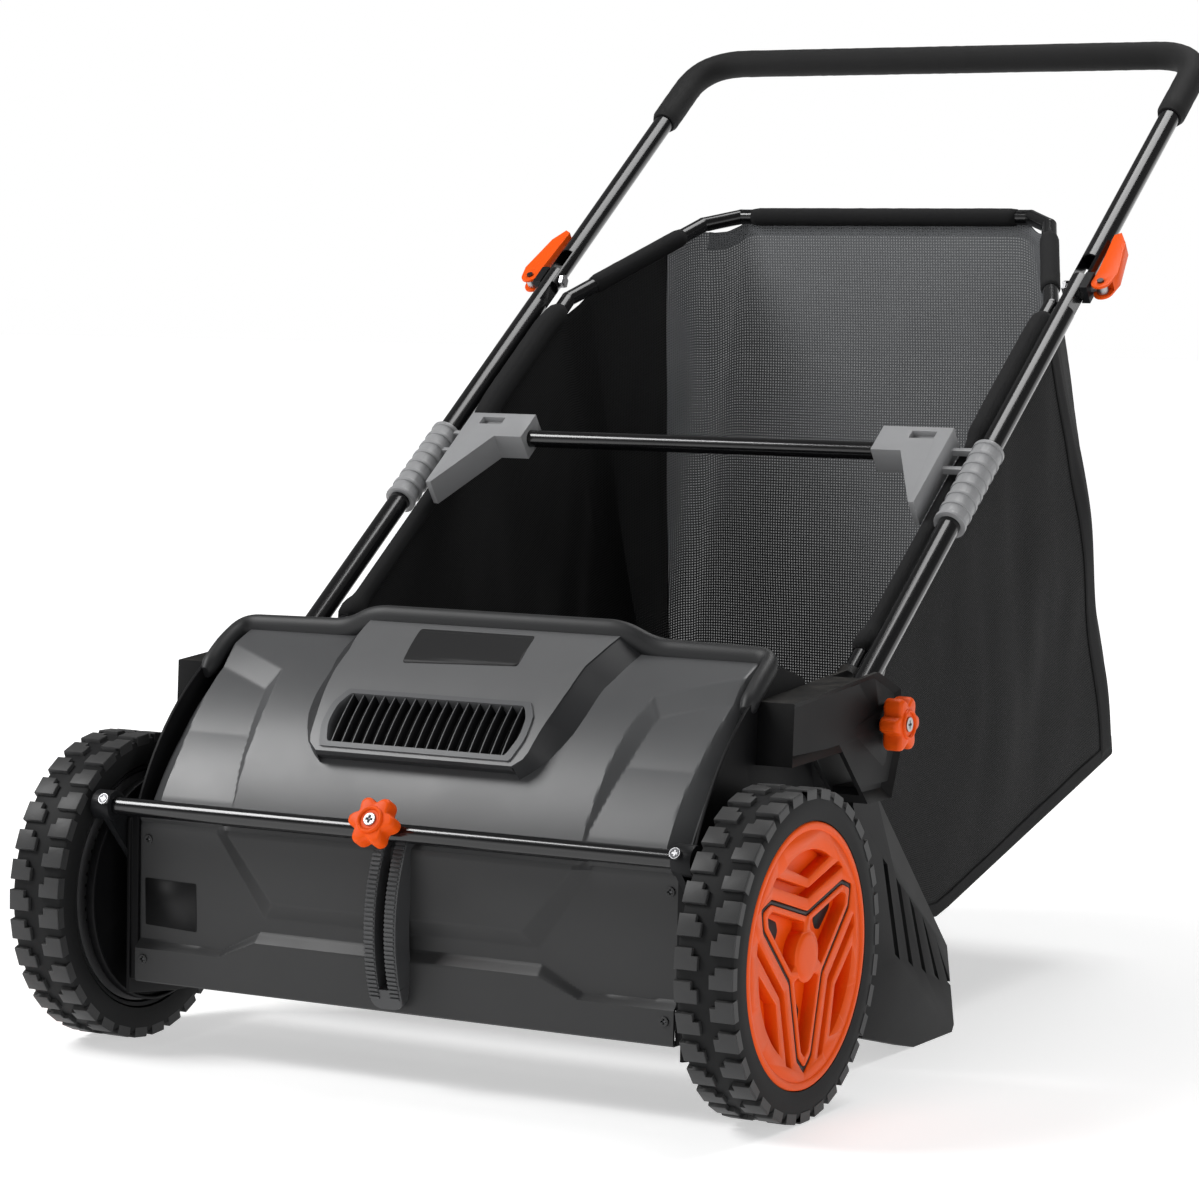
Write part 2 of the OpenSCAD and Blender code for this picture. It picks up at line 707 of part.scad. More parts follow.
module lower_tube(side) {
    shoulder = -lever_s - fold_clear;
    color("#151516") on_side(side) on_handle(0) difference() {
        union() {
            translate([tube_x, 0, 0]) rod_y(tube_r, -tube_end_s, shoulder);
            translate([tube_x, 0, 0]) intersection() {
                rod_y(tube_r, shoulder - 1, -lever_s + tube_r);
                translate([-tongue_t / 2, shoulder - 2, -tube_r]) cube([tongue_t, fold_clear + 3 * tube_r, tube_d]);
            }
            translate([0, -fold_s, 0]) along_x(tube_x - 2, tube_x + 2) {
                translate([0, -fold_drop]) circle(r = 14);
                polygon([[-13, -fold_drop], [-12, -tube_r + 1], [60, -tube_r + 1], [13, -fold_drop]]);
            }
        }
        translate([tube_x, 0, 0]) rod_y(tube_r - tube_wall, -tube_end_s - 1, shoulder - 8);
        translate([0, -lever_s, 0]) rod_x(bolt_r + run, tube_x - tube_d, tube_x + tube_d, 0, 0);
        translate([0, -fold_s, -fold_drop]) rod_x(bolt_r + run, tube_x - 5, tube_x + 5, 0, 0);
    }
}

module cross_tube() {
    half = block_in + 20;
    color("#141415") on_handle(cross_s) difference() {
        rod_x(cross_d / 2, -half, half, 0, cross_n);
        rod_x(cross_d / 2 - tube_wall, -half - 1, half + 1, 0, cross_n);
    }
}

module corner_clip(side) {
    ribs = 7;
    thick = 26;
    n0 = cross_n - thick / 2;
    color("#77787c") on_side(side) on_handle(cross_s) difference() {
        union() {
            translate([tube_x, 0, 0]) rod_y(sleeve_r - 1, cross_s - sleeve_top - sleeve_len, cross_s - sleeve_top);
            for (i = [0:ribs])
                translate([tube_x, cross_s - sleeve_top - sleeve_len + i * (sleeve_len - 4) / ribs, 0])
                    rod_y(sleeve_r, 0, 4);
            translate([0, 0, n0]) linear_extrude(thick) polygon([[block_in, -14], [block_in, 20],
                [block_out, 20], [block_out, -85], [block_out - 5, -85], [block_in + 29, -14]]);
            for (y = [4, -22])
                translate([block_out - 1, y, 0]) cube([tube_x - sleeve_r + 3 - block_out, 4.5, 6]);
        }
        translate([tube_x, 0, 0]) rod_y(tube_r, -sleeve_len, 40);
        rod_x(cross_d / 2, block_in - 1, block_in + 20, 0, cross_n);
        translate([block_in + 30, 4, n0 + thick - 6]) cube([24, 10, 8]);
    }
}

module upper_handle() {
    half = tube_x - handle_bend;
    slot_root = -lever_s + fold_clear;
    color("#151516") on_handle(0) difference() {
        union() {
            rod_x(tube_r, -half, half, 0, 0);
            for (s = [-1, 1])
                on_side(s) {
                    translate([half, -handle_bend, 0]) rotate_extrude(angle = 90)
                        translate([handle_bend, 0]) circle(r = tube_r);
                    translate([tube_x, 0, 0]) rod_y(tube_r, -lever_s - tube_r, -handle_bend);
                }
        }
        for (s = [-1, 1])
            on_side(s) {
                translate([tube_x - tongue_t / 2 - 0.3, -lever_s - tube_d, -tube_d])
                    cube([tongue_t + 0.6, tube_d + fold_clear, 2 * tube_d]);
                translate([0, -lever_s, 0]) rod_x(bolt_r, tube_x - tube_d, tube_x + tube_d, 0, 0);
                translate([tube_x, 0, 0]) rod_y(tube_r - tube_wall, slot_root - 1, -handle_bend);
                translate([half, -handle_bend, 0]) rotate_extrude(angle = 90)
                    translate([handle_bend, 0]) circle(r = tube_r - tube_wall);
            }
        rod_x(tube_r - tube_wall, -half, half, 0, 0);
    }
}

foam_low = 112;

module foam_grip() {
    half = tube_x - handle_bend;
    foam_r = foam_d / 2;
    color("#1c1c1d") on_handle(0) difference() {
        union() {
            rod_x(foam_r, -half, half, 0, 0);
            for (s = [-1, 1])
                on_side(s) {
                    translate([half, -handle_bend, 0]) rotate_extrude(angle = 90)
                        translate([handle_bend, 0]) circle(r = foam_r);
                    translate([tube_x, 0, 0]) rod_y(foam_r, -foam_low, -handle_bend);
                }
        }
        rod_x(tube_r, -half, half, 0, 0);
        for (s = [-1, 1])
            on_side(s) {
                translate([half, -handle_bend, 0]) rotate_extrude(angle = 90)
                    translate([handle_bend, 0]) circle(r = tube_r);
                translate([tube_x, 0, 0]) rod_y(tube_r, -foam_low - 1, -handle_bend);
            }
    }
}

pin_x = tube_x + tube_r + 14;
cam_r = 9;
pin_r = 3;
lever_h = 14;
eye_h = 8.6;

module lever_bolts() {
    color("silver") for (s = [-1, 1])
        on_side(s) on_handle(lever_s) difference() {
            union() {
                rod_x(bolt_r, tube_x - tube_r - 4, pin_x + 1, 0, 0);
                translate([tube_x - tube_r - 3.5, 0, 0]) rotate([0, 90, 0]) cylinder(h = 3.5, r = 7, $fn = 6);
                translate([pin_x, 0, -eye_h / 2]) cylinder(h = eye_h, r = pin_r + 2.5);
            }
            translate([pin_x, 0, -10]) cylinder(h = 20, r = pin_r);
        }
}

module cam_saddles() {
    saddle_in = tube_x + tongue_t / 2 + gap;
    color("#1a1a1b") for (s = [-1, 1])
        on_side(s) on_handle(lever_s) difference() {
            translate([saddle_in, -12, -9]) cube([pin_x - cam_r - gap - saddle_in, 24, 18]);
            translate([tube_x, 0, 0]) rod_y(tube_r, -20, 20);
            rod_x(bolt_r, tube_x, pin_x, 0, 0);
        }
}

module cam_pins() {
    color("#4b4d50") for (s = [-1, 1])
        on_side(s) on_handle(lever_s) translate([pin_x, 0, -lever_h / 2 - 2]) cylinder(h = lever_h + 4, r = pin_r);
}

module cam_lever(side) {
    color("#ee4f1d") on_side(side) on_handle(lever_s) difference() {
        union() {
            translate([pin_x, 0, -lever_h / 2]) cylinder(h = lever_h, r = cam_r);
            translate([0, 0, -lever_h / 2]) linear_extrude(lever_h) polygon([
                [pin_x - cam_r, 0], [pin_x + cam_r, -2], [pin_x + cam_r + 3, 14], [pin_x + 4, lever_len - 16],
                [pin_x - 5, lever_len], [pin_x - cam_r - 2, lever_len - 4], [pin_x - cam_r + 1, 20]]);
        }
        translate([pin_x, 0, -lever_h]) cylinder(h = 2 * lever_h, r = pin_r + run);
        translate([pin_x - 16, -12, -eye_h / 2 - gap]) cube([26, 18.5, eye_h + 2 * gap]);
    }
}

module bracket_knob(side) {
    color("#f0521f") on_side(side) translate([bracket_out + gap, fold_y, fold_z]) rotate([0, 90, 0])
        difference() {
            union() {
                cylinder(h = 8, r = 11);
                translate([0, 0, 7]) linear_extrude(14) knob_outline(bracket_knob_d);
                translate([0, 0, 20]) cylinder(h = 3, r = 0.24 * bracket_knob_d);
            }
            translate([0, 0, -1]) cylinder(h = 30, r = bolt_r + run);
        }
}

// ---- Bag ----

// The frame's run on one side, from its socket to the end of the rear bar
module bag_frame_run(side) {
    low = handle_pt(socket_s, -bag_drop);
    bend = handle_pt(bend_s, -bag_drop);
    knuckle = bag_tube_r + 0.15;
    points = [[bag_tube_x, low[0], low[1]], [bag_tube_x, bend[0], bend[1]],
        [bag_bend_x, bag_bend_y, bag_bend_z], [rear_bar_half, bag_rear_y, bag_rear_z]];
    on_side(side) {
        for (i = [0:len(points) - 2])
            rod_between(points[i], points[i + 1], bag_tube_r);
        for (i = [1:len(points) - 1])
            translate(points[i]) sphere(r = knuckle);
    }
}

module bag_frame() {
    color("#2b2c2e") {
        rod_x(bag_tube_r, -rear_bar_half, rear_bar_half, bag_rear_y, bag_rear_z);
        bag_frame_run(-1);
        bag_frame_run(1);
    }
}

// The bag's corners on one side; lift carries the inner ones past the open top and mouth
bag_floor_y = fold_y + 199;
bag_floor_z = 96;
bag_back_y = fold_y + 642;
bag_back_z = 208;

function bag_corners(s, t, lift) =
    let (mouth = handle_pt(fold_s - 50, -bag_hem + lift))
    let (mid = handle_pt(bend_s - (lift > 0 ? 8 : 0), -bag_hem + lift))
    let (rear = [bag_rear_y - 2 - 2 * t, bag_rear_z - bag_tube_r - 1 + lift])
    let (ahead_y = lift > 0 ? 60 : 0)
    [[s * (bag_half - t), mouth[0] - ahead_y, mouth[1] - 0.7 * ahead_y],
     [s * (bag_half - t), mid[0], mid[1]],
     [s * (rear_bar_half - 3 * t), rear[0], rear[1]],
     [s * (bag_half - 5 - t), bag_back_y - t, bag_back_z + t],
     [s * (bag_half - t), bag_floor_y, bag_floor_z + t],
     [s * (bag_half - t), fold_y - 20 - ahead_y, 112 + t]];

module bag_hull(t, lift) {
    hull() for (s = [-1, 1]) for (p = bag_corners(s, t, lift))
        translate(p) cube(0.01, center = true);
}

module bag() {
    color("#1d1e20") difference() {
        bag_hull(0, 0);
        bag_hull(bag_t, 30);
    }
}

front_panel();
hood();
vent_grille();
side_plate(-1);  // side_plate_left
side_plate(1);  // side_plate_right
height_quadrant();
rear_bracket(-1);  // rear_bracket_left
rear_bracket(1);  // rear_bracket_right
rear_tie_rod();
shaft_bushes();
bracket_bolts();
bracket_screws();
panel_screws();
wheel_arm(-1);  // wheel_arm_left
wheel_arm(1);  // wheel_arm_right
front_bar();
bar_screws();
stub_axles();
axle_nuts();
gear_cover(-1);  // gear_cover_left
gear_cover(1);  // gear_cover_right
height_bolt();
height_knob();
tyre(-1);  // tyre_left
wheel_disc(-1);  // wheel_disc_left
ring_gear(-1);  // ring_gear_left
wheel_bush(-1);  // wheel_bush_left
hub_cap(-1);  // hub_cap_left
tyre(1);  // tyre_right
wheel_disc(1);  // wheel_disc_right
ring_gear(1);  // ring_gear_right
wheel_bush(1);  // wheel_bush_right
hub_cap(1);  // hub_cap_right
brush_shaft();
brush_core();
bristle_strips();
drive_pins();
pinion(-1);  // pinion_left
pinion(1);  // pinion_right
lower_tube(-1);  // lower_tube_left
lower_tube(1);  // lower_tube_right
cross_tube();
corner_clip(-1);  // corner_clip_left
corner_clip(1);  // corner_clip_right
upper_handle();
foam_grip();
lever_bolts();
cam_saddles();
cam_pins();
cam_lever(-1);  // cam_lever_left
cam_lever(1);  // cam_lever_right
bracket_knob(-1);  // bracket_knob_left
bracket_knob(1);  // bracket_knob_right
bag_frame();
bag();
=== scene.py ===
import json
import math
import random

import bmesh
import bpy
from mathutils import Matrix, Vector, noise

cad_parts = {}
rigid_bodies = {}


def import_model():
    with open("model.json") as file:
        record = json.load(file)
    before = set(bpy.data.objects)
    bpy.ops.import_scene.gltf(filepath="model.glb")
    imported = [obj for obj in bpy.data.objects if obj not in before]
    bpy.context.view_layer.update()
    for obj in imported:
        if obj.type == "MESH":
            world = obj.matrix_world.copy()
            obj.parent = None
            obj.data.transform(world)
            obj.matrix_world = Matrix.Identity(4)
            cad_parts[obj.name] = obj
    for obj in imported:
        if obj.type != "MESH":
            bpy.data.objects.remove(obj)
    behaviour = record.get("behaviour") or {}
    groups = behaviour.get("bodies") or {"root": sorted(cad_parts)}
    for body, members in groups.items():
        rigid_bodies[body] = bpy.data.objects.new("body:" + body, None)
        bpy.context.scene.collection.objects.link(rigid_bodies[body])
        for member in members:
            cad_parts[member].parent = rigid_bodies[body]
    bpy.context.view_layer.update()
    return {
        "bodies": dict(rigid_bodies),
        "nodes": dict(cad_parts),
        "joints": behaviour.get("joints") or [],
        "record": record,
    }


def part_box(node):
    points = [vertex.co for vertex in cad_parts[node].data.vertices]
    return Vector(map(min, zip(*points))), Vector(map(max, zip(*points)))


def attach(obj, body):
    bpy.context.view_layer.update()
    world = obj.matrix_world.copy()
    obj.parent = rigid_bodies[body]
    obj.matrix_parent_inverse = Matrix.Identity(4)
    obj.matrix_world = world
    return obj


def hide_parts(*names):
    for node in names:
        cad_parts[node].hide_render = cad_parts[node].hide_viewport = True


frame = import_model()
NODES = frame["nodes"]
JOINTS = {j["name"]: j for j in frame["joints"]}
MM = 0.001


# ---------------------------------------------------------------- Places, in millimetres

def middle(node):
    """The middle of a CAD node's box, in millimetres."""
    low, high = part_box(node)
    return (low + high) / 2 / MM


def pivot(joint):
    """A joint's pivot, in millimetres."""
    return Vector(JOINTS[joint]["pos_m"]) / MM


AXLE = middle("stub_axles")
BRUSH = middle("brush_shaft")
WHEEL_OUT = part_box("tyre_right")[1].x / MM
WHEEL_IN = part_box("tyre_right")[0].x / MM
WHEEL_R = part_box("tyre_right")[1].z / MM - AXLE.z
HUB = (0.0, AXLE.y, AXLE.z)
TILT = math.radians(28.5)
OUT = Vector((0.0, -math.cos(TILT), math.sin(TILT)))
UP = Vector((0.0, math.sin(TILT), math.cos(TILT)))
GRIP = Vector((0.0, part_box("foam_grip")[1].y / MM - 14.0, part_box("foam_grip")[1].z / MM - 14.0))
SLOPE = math.radians(36.5)
ALONG = Vector((0.0, math.cos(SLOPE), math.sin(SLOPE)))
NORMAL = Vector((0.0, -math.sin(SLOPE), math.cos(SLOPE)))
ACROSS = Vector((1.0, 0.0, 0.0))
HOOD = Vector((0.0, BRUSH.y + 112.6, BRUSH.z - 21.0))
HOOD_R = 252.0
BONNET_R = 267.0
PANEL_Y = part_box("front_panel")[0].y / MM
BAG_TUBE_X = 255.5
BAG_TUBE_DROP = 9.0


def on_handle(s, n=0.0, x=0.0):
    """The point s below the grip along the handle's slope, n above its plane."""
    return GRIP - ALONG * s + NORMAL * n + ACROSS * x


def on_hood(x, degrees, r):
    """The point of the hood's arc at a height angle above level."""
    a = math.radians(degrees)
    return Vector((x, HOOD.y - r * math.cos(a), HOOD.z + r * math.sin(a)))


# ---------------------------------------------------------------- Numbers

def clamp(value, low=0.0, high=1.0):
    """The value, kept between low and high."""
    return max(low, min(high, value))


def between(table, t):
    """Straight-line value at t in a table of (t, value) rows."""
    if t <= table[0][0]:
        return table[0][1]
    for (t0, v0), (t1, v1) in zip(table, table[1:]):
        if t <= t1:
            return v0 + (v1 - v0) * (t - t0) / (t1 - t0)
    return table[-1][1]


def steps(low, high, count):
    """count + 1 even values from low to high."""
    return [low + (high - low) * i / count for i in range(count + 1)]


def arc_points(radius, angles):
    """Points of a circle about the origin, at angles in radians."""
    return [(radius * math.cos(a), radius * math.sin(a)) for a in angles]


def round_loop(radius, count=128):
    """A whole circle about the origin, as an outline."""
    return arc_points(radius, [2 * math.pi * k / count for k in range(count)])


def rounded(points, radius, pieces=4):
    """A closed 2-D outline with its corners rounded."""
    out = []
    for i, corner in enumerate(points):
        here = Vector(corner)
        before = Vector(points[i - 1]) - here
        after = Vector(points[(i + 1) % len(points)]) - here
        reach = min(radius, before.length * 0.45, after.length * 0.45)
        start = here + before.normalized() * reach
        end = here + after.normalized() * reach
        for k in range(pieces + 1):
            t = k / pieces
            out.append(start * (1 - t) ** 2 + here * 2 * t * (1 - t) + end * t ** 2)
    return [(p[0], p[1]) for p in out]


# ---------------------------------------------------------------- Mesh making

def shown(name, data):
    """A new object in the scene."""
    obj = bpy.data.objects.new(name, data)
    bpy.context.scene.collection.objects.link(obj)
    return obj


def as_object(name, bm, material):
    """A new object from a bmesh whose points are in millimetres."""
    bmesh.ops.scale(bm, vec=(MM, MM, MM), verts=bm.verts)
    mesh = bpy.data.meshes.new(name)
    bm.to_mesh(mesh)
    bm.free()
    mesh.polygons.foreach_set("use_smooth", [True] * len(mesh.polygons))
    mesh.materials.append(material)
    return shown(name, mesh)


def settle(obj):
    """Turns an object's modifiers into its plain mesh."""
    bpy.context.view_layer.update()
    graph = bpy.context.evaluated_depsgraph_get()
    mesh = bpy.data.meshes.new_from_object(obj.evaluated_get(graph), depsgraph=graph)
    obj.modifiers.clear()
    obj.data = mesh
    return obj


def soften(obj, width, pieces=2, angle=32.0):
    """Rounds the sharp edges and leaves a plain mesh."""
    bevel = obj.modifiers.new("edges", "BEVEL")
    bevel.width = width * MM
    bevel.segments = pieces
    bevel.limit_method = "ANGLE"
    bevel.angle_limit = math.radians(angle)
    bevel.harden_normals = True
    bevel.use_clamp_overlap = True
    return settle(obj)


def thicken(obj, thickness):
    """Gives a surface its wall, inwards from its outer face."""
    wall = obj.modifiers.new("wall", "SOLIDIFY")
    wall.thickness = thickness * MM
    wall.offset = -1.0
    wall.use_even_offset = False
    return settle(obj)


def sharpen(obj, degrees=35.0):
    """Keeps edges over an angle crisp and the rest smooth."""
    obj.data.set_sharp_from_angle(angle=math.radians(degrees))
    return obj


def place(obj, body, slot, *stands_for):
    """Rides a finished piece on its body and hides the nodes it stands for; slot is not used."""
    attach(obj, body)
    if stands_for:
        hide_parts(*stands_for)
    return obj


def grid(name, rows, material, outward):
    """A surface through rows of points, with its faces turned along outward."""
    bm = bmesh.new()
    made = [[bm.verts.new(p) for p in row] for row in rows]
    for a, b in zip(made, made[1:]):
        for i in range(len(a) - 1):
            bm.faces.new((a[i], a[i + 1], b[i + 1], b[i]))
    bm.normal_update()
    lean = sum((f.normal * f.calc_area() for f in bm.faces), Vector())
    if lean.dot(Vector(outward)) < 0:
        bmesh.ops.reverse_faces(bm, faces=bm.faces)
    return as_object(name, bm, material)


def loft(name, rings, material, caps=True):
    """A closed solid through rings of points."""
    bm = bmesh.new()
    made = [[bm.verts.new(p) for p in ring] for ring in rings]
    count = len(rings[0])
    for a, b in zip(made, made[1:]):
        for i in range(count):
            k = (i + 1) % count
            bm.faces.new((a[i], a[k], b[k], b[i]))
    if caps:
        bm.faces.new(made[0][::-1])
        bm.faces.new(made[-1])
    bmesh.ops.remove_doubles(bm, verts=bm.verts, dist=1e-4)
    bmesh.ops.recalc_face_normals(bm, faces=bm.faces)
    return as_object(name, bm, material)


def filled(loops):
    """A flat face with holes, drawn by closed 2-D outlines."""
    bm = bmesh.new()
    for loop in loops:
        ring = [bm.verts.new((u, v, 0.0)) for u, v in loop]
        for i, v in enumerate(ring):
            bm.edges.new((v, ring[(i + 1) % len(ring)]))
    bmesh.ops.triangle_fill(bm, use_beauty=True, edges=bm.edges)
    return bm


def raised(name, bm, low, high, material, put):
    """A flat face given its thickness, from low to high, and laid where put maps (u, v, w)."""
    made = bmesh.ops.extrude_face_region(bm, geom=list(bm.faces))
    for g in made["geom"]:
        if isinstance(g, bmesh.types.BMVert):
            g.co.z = 1.0
    for v in bm.verts:
        v.co = put(v.co.x, v.co.y, low if v.co.z < 0.5 else high)
    bmesh.ops.recalc_face_normals(bm, faces=bm.faces)
    return as_object(name, bm, material)


def plate(name, loops, low, high, material, put):
    """A plate with holes: loops are 2-D outlines, put maps (u, v, w) to a point."""
    bm = filled(loops)
    bmesh.ops.dissolve_limit(bm, angle_limit=0.01, verts=bm.verts, edges=bm.edges)
    return raised(name, bm, low, high, material, put)


def revolve(name, profile, centre, axis, material, count=96):
    """A solid of revolution: profile rows are (distance along the axis, radius)."""
    axis = Vector(axis).normalized()
    side = axis.orthogonal().normalized()
    other = axis.cross(side)
    rings = []
    for k in range(count):
        a = 2 * math.pi * k / count
        out = side * math.cos(a) + other * math.sin(a)
        rings.append([Vector(centre) + axis * t + out * max(r, 0.0) for t, r in profile])
    bm = bmesh.new()
    made = [[bm.verts.new(p) for p in ring] for ring in rings]
    n = len(profile)
    for i in range(count):
        a, b = made[i], made[(i + 1) % count]
        for k in range(n):
            m = (k + 1) % n
            bm.faces.new((a[k], a[m], b[m], b[k]))
    bmesh.ops.remove_doubles(bm, verts=bm.verts, dist=1e-4)
    bmesh.ops.dissolve_degenerate(bm, edges=bm.edges, dist=1e-5)
    bmesh.ops.recalc_face_normals(bm, faces=bm.faces)
    return as_object(name, bm, material)


def sweep(name, path, radius, material, sides=20, caps=True):
    """A round tube along a path, whose radius may be a function of the share of the way."""
    path = [Vector(p) for p in path]
    rings = []
    side = None
    for i, p in enumerate(path):
        ahead = (path[min(i + 1, len(path) - 1)] - path[max(i - 1, 0)]).normalized()
        side = ahead.orthogonal() if side is None else side - ahead * side.dot(ahead)
        side.normalize()
        other = ahead.cross(side)
        r = radius(i / (len(path) - 1)) if callable(radius) else radius
        ring = []
        for k in range(sides):
            a = 2 * math.pi * k / sides
            ring.append(p + side * r * math.cos(a) + other * r * math.sin(a))
        rings.append(ring)
    return loft(name, rings, material, caps)


def bend_path(corners, radius, pieces=8):
    """A path through 3-D corners, with each corner rounded."""
    corners = [Vector(c) for c in corners]
    out = [corners[0]]
    for a, b, c in zip(corners, corners[1:], corners[2:]):
        before, after = a - b, c - b
        reach = min(radius, before.length * 0.45, after.length * 0.45)
        start, end = b + before.normalized() * reach, b + after.normalized() * reach
        for k in range(pieces + 1):
            t = k / pieces
            out.append(start * (1 - t) ** 2 + b * 2 * t * (1 - t) + end * t ** 2)
    out.append(corners[-1])
    return out


def along(path, pitch):
    """The same path with points at an even pitch."""
    out = [Vector(path[0])]
    for a, b in zip(path, path[1:]):
        a, b = Vector(a), Vector(b)
        parts = max(1, round((b - a).length / pitch))
        out += [a.lerp(b, k / parts) for k in range(1, parts + 1)]
    return out


def joined(name, parts):
    """Several objects made into one."""
    bm = bmesh.new()
    materials = []
    for part in parts:
        first = len(bm.faces)
        bm.from_mesh(part.data)
        bm.faces.ensure_lookup_table()
        for f in bm.faces[first:]:
            material = part.data.materials[f.material_index]
            if material not in materials:
                materials.append(material)
            f.material_index = materials.index(material)
    mesh = bpy.data.meshes.new(name)
    bm.to_mesh(mesh)
    bm.free()
    for material in materials:
        mesh.materials.append(material)
    for part in parts:
        bpy.data.objects.remove(part)
    return shown(name, mesh)


def mirrored(obj, name):
    """A copy on the other side of the middle plane."""
    mesh = obj.data.copy()
    mesh.transform(Matrix.Scale(-1.0, 4, (1.0, 0.0, 0.0)))
    mesh.flip_normals()
    return shown(name, mesh)


def cad_shape(node):
    """A CAD node's shape in millimetres, with its flat faces whole."""
    bm = bmesh.new()
    bm.from_mesh(NODES[node].data)
    bmesh.ops.remove_doubles(bm, verts=bm.verts, dist=2e-5)
    bmesh.ops.dissolve_limit(bm, angle_limit=0.02, verts=bm.verts, edges=bm.edges)
    bmesh.ops.scale(bm, vec=(1 / MM, 1 / MM, 1 / MM), verts=bm.verts)
    return bm


# ---------------------------------------------------------------- Shader groups

def shader_group(name, inputs, outputs):
    """A shader group with its sockets; returns the tree, its input node and its output node."""
    tree = bpy.data.node_groups.new(name, "ShaderNodeTree")
    for label, kind, value in inputs:
        socket = tree.interface.new_socket(name=label, in_out="INPUT", socket_type=kind)
        socket.default_value = value
    for label, kind in outputs:
        tree.interface.new_socket(name=label, in_out="OUTPUT", socket_type=kind)
    return tree, tree.nodes.new("NodeGroupInput"), tree.nodes.new("NodeGroupOutput")


def set_values(node, **values):
    """Sets a node's inputs by their names, with _ for a space."""
    for label, value in values.items():
        node.inputs[label.replace("_", " ")].default_value = value


def maths(tree, operation, a, b=None, clamped=False):
    """One maths node; its inputs are sockets or numbers."""
    node = tree.nodes.new("ShaderNodeMath")
    node.operation = operation
    node.use_clamp = clamped
    for i, value in enumerate((a, b)):
        if value is None:
            continue
        if isinstance(value, (int, float)):
            node.inputs[i].default_value = value
        else:
            tree.links.new(value, node.inputs[i])
    return node.outputs[0]


def noise_node(tree, scale, detail, roughness=0.5):
    """Noise over the object's coordinates, which are metres."""
    where = tree.nodes.new("ShaderNodeTexCoord")
    node = tree.nodes.new("ShaderNodeTexNoise")
    set_values(node, Detail=detail, Roughness=roughness)
    tree.links.new(where.outputs["Object"], node.inputs["Vector"])
    if isinstance(scale, (int, float)):
        node.inputs["Scale"].default_value = scale
    else:
        tree.links.new(scale, node.inputs["Scale"])
    return node.outputs["Fac"]


def grain_group():
    """Moulded texture: a fine height and an uneven gloss."""
    tree, given, out = shader_group(
        "Grain",
        [("Scale", "NodeSocketFloat", 900.0), ("Roughness", "NodeSocketFloat", 0.5),
         ("Spread", "NodeSocketFloat", 0.1)],
        [("Height", "NodeSocketFloat"), ("Roughness", "NodeSocketFloat")],
    )
    fine = noise_node(tree, given.outputs["Scale"], 2.0)
    broad = noise_node(tree, 14.0, 4.0, 0.6)
    tree.links.new(fine, out.inputs["Height"])
    off = maths(tree, "SUBTRACT", broad, 0.5)
    spread = maths(tree, "MULTIPLY", off, given.outputs["Spread"])
    tree.links.new(maths(tree, "ADD", given.outputs["Roughness"], spread, True), out.inputs["Roughness"])
    return tree


def mottle_group():
    """A slight unevenness of colour."""
    tree, given, out = shader_group(
        "Mottle",
        [("Color", "NodeSocketColor", (0.5, 0.5, 0.5, 1.0)), ("Amount", "NodeSocketFloat", 0.06),
         ("Scale", "NodeSocketFloat", 40.0)],
        [("Color", "NodeSocketColor")],
    )
    fac = noise_node(tree, given.outputs["Scale"], 5.0, 0.65)
    off = maths(tree, "MULTIPLY", maths(tree, "SUBTRACT", fac, 0.5), given.outputs["Amount"])
    scale = maths(tree, "ADD", maths(tree, "MULTIPLY", off, 2.0), 1.0)
    mul = tree.nodes.new("ShaderNodeVectorMath")
    mul.operation = "SCALE"
    tree.links.new(given.outputs["Color"], mul.inputs[0])
    tree.links.new(scale, mul.inputs["Scale"])
    tree.links.new(mul.outputs[0], out.inputs["Color"])
    return tree


def dust_and_sheen_group():
    """A mask of what faces up, for dust and for painted sheen, which lightens top faces where the amount is
    large.
    """
    tree, given, out = shader_group(
        "Dust",
        [("Amount", "NodeSocketFloat", 0.2), ("Scale", "NodeSocketFloat", 60.0)],
        [("Mask", "NodeSocketFloat")],
    )
    geometry = tree.nodes.new("ShaderNodeNewGeometry")
    split = tree.nodes.new("ShaderNodeSeparateXYZ")
    tree.links.new(geometry.outputs["Normal"], split.inputs[0])
    up = maths(tree, "POWER", maths(tree, "MAXIMUM", split.outputs["Z"], 0.0), 1.5)
    patch = noise_node(tree, given.outputs["Scale"], 6.0, 0.7)
    broken = maths(tree, "MULTIPLY", maths(tree, "SUBTRACT", patch, 0.35), 2.2, True)
    mask = maths(tree, "MULTIPLY", maths(tree, "MULTIPLY", up, broken), given.outputs["Amount"], True)
    tree.links.new(mask, out.inputs["Mask"])
    return tree


def weave_group():
    """Crossed threads over the surface's own measure: a height and how much is thread."""
    tree, given, out = shader_group(
        "Weave",
        [("Pitch", "NodeSocketFloat", 500.0), ("Width", "NodeSocketFloat", 0.6)],
        [("Height", "NodeSocketFloat"), ("Thread", "NodeSocketFloat")],
    )
    where = tree.nodes.new("ShaderNodeUVMap")
    where.uv_map = "cloth"
    split = tree.nodes.new("ShaderNodeSeparateXYZ")
    tree.links.new(where.outputs["UV"], split.inputs[0])
    ridges = []
    for axis in ("X", "Y"):
        across = maths(tree, "MULTIPLY", split.outputs[axis], given.outputs["Pitch"])
        saw = maths(tree, "PINGPONG", across, 1.0)
        ridges.append(saw)
    height = maths(tree, "MAXIMUM", ridges[0], ridges[1])
    tree.links.new(height, out.inputs["Height"])
    edge = maths(tree, "SUBTRACT", height, maths(tree, "SUBTRACT", 1.0, given.outputs["Width"]))
    tree.links.new(maths(tree, "MULTIPLY", edge, 6.0, True), out.inputs["Thread"])
    return tree


GRAIN, MOTTLE, DUST_AND_SHEEN, WEAVE = grain_group(), mottle_group(), dust_and_sheen_group(), weave_group()


# ---------------------------------------------------------------- Materials

def group_node(tree, group, **values):
    """One of the shader groups above, with its values."""
    node = tree.nodes.new("ShaderNodeGroup")
    node.node_tree = group
    set_values(node, **values)
    return node


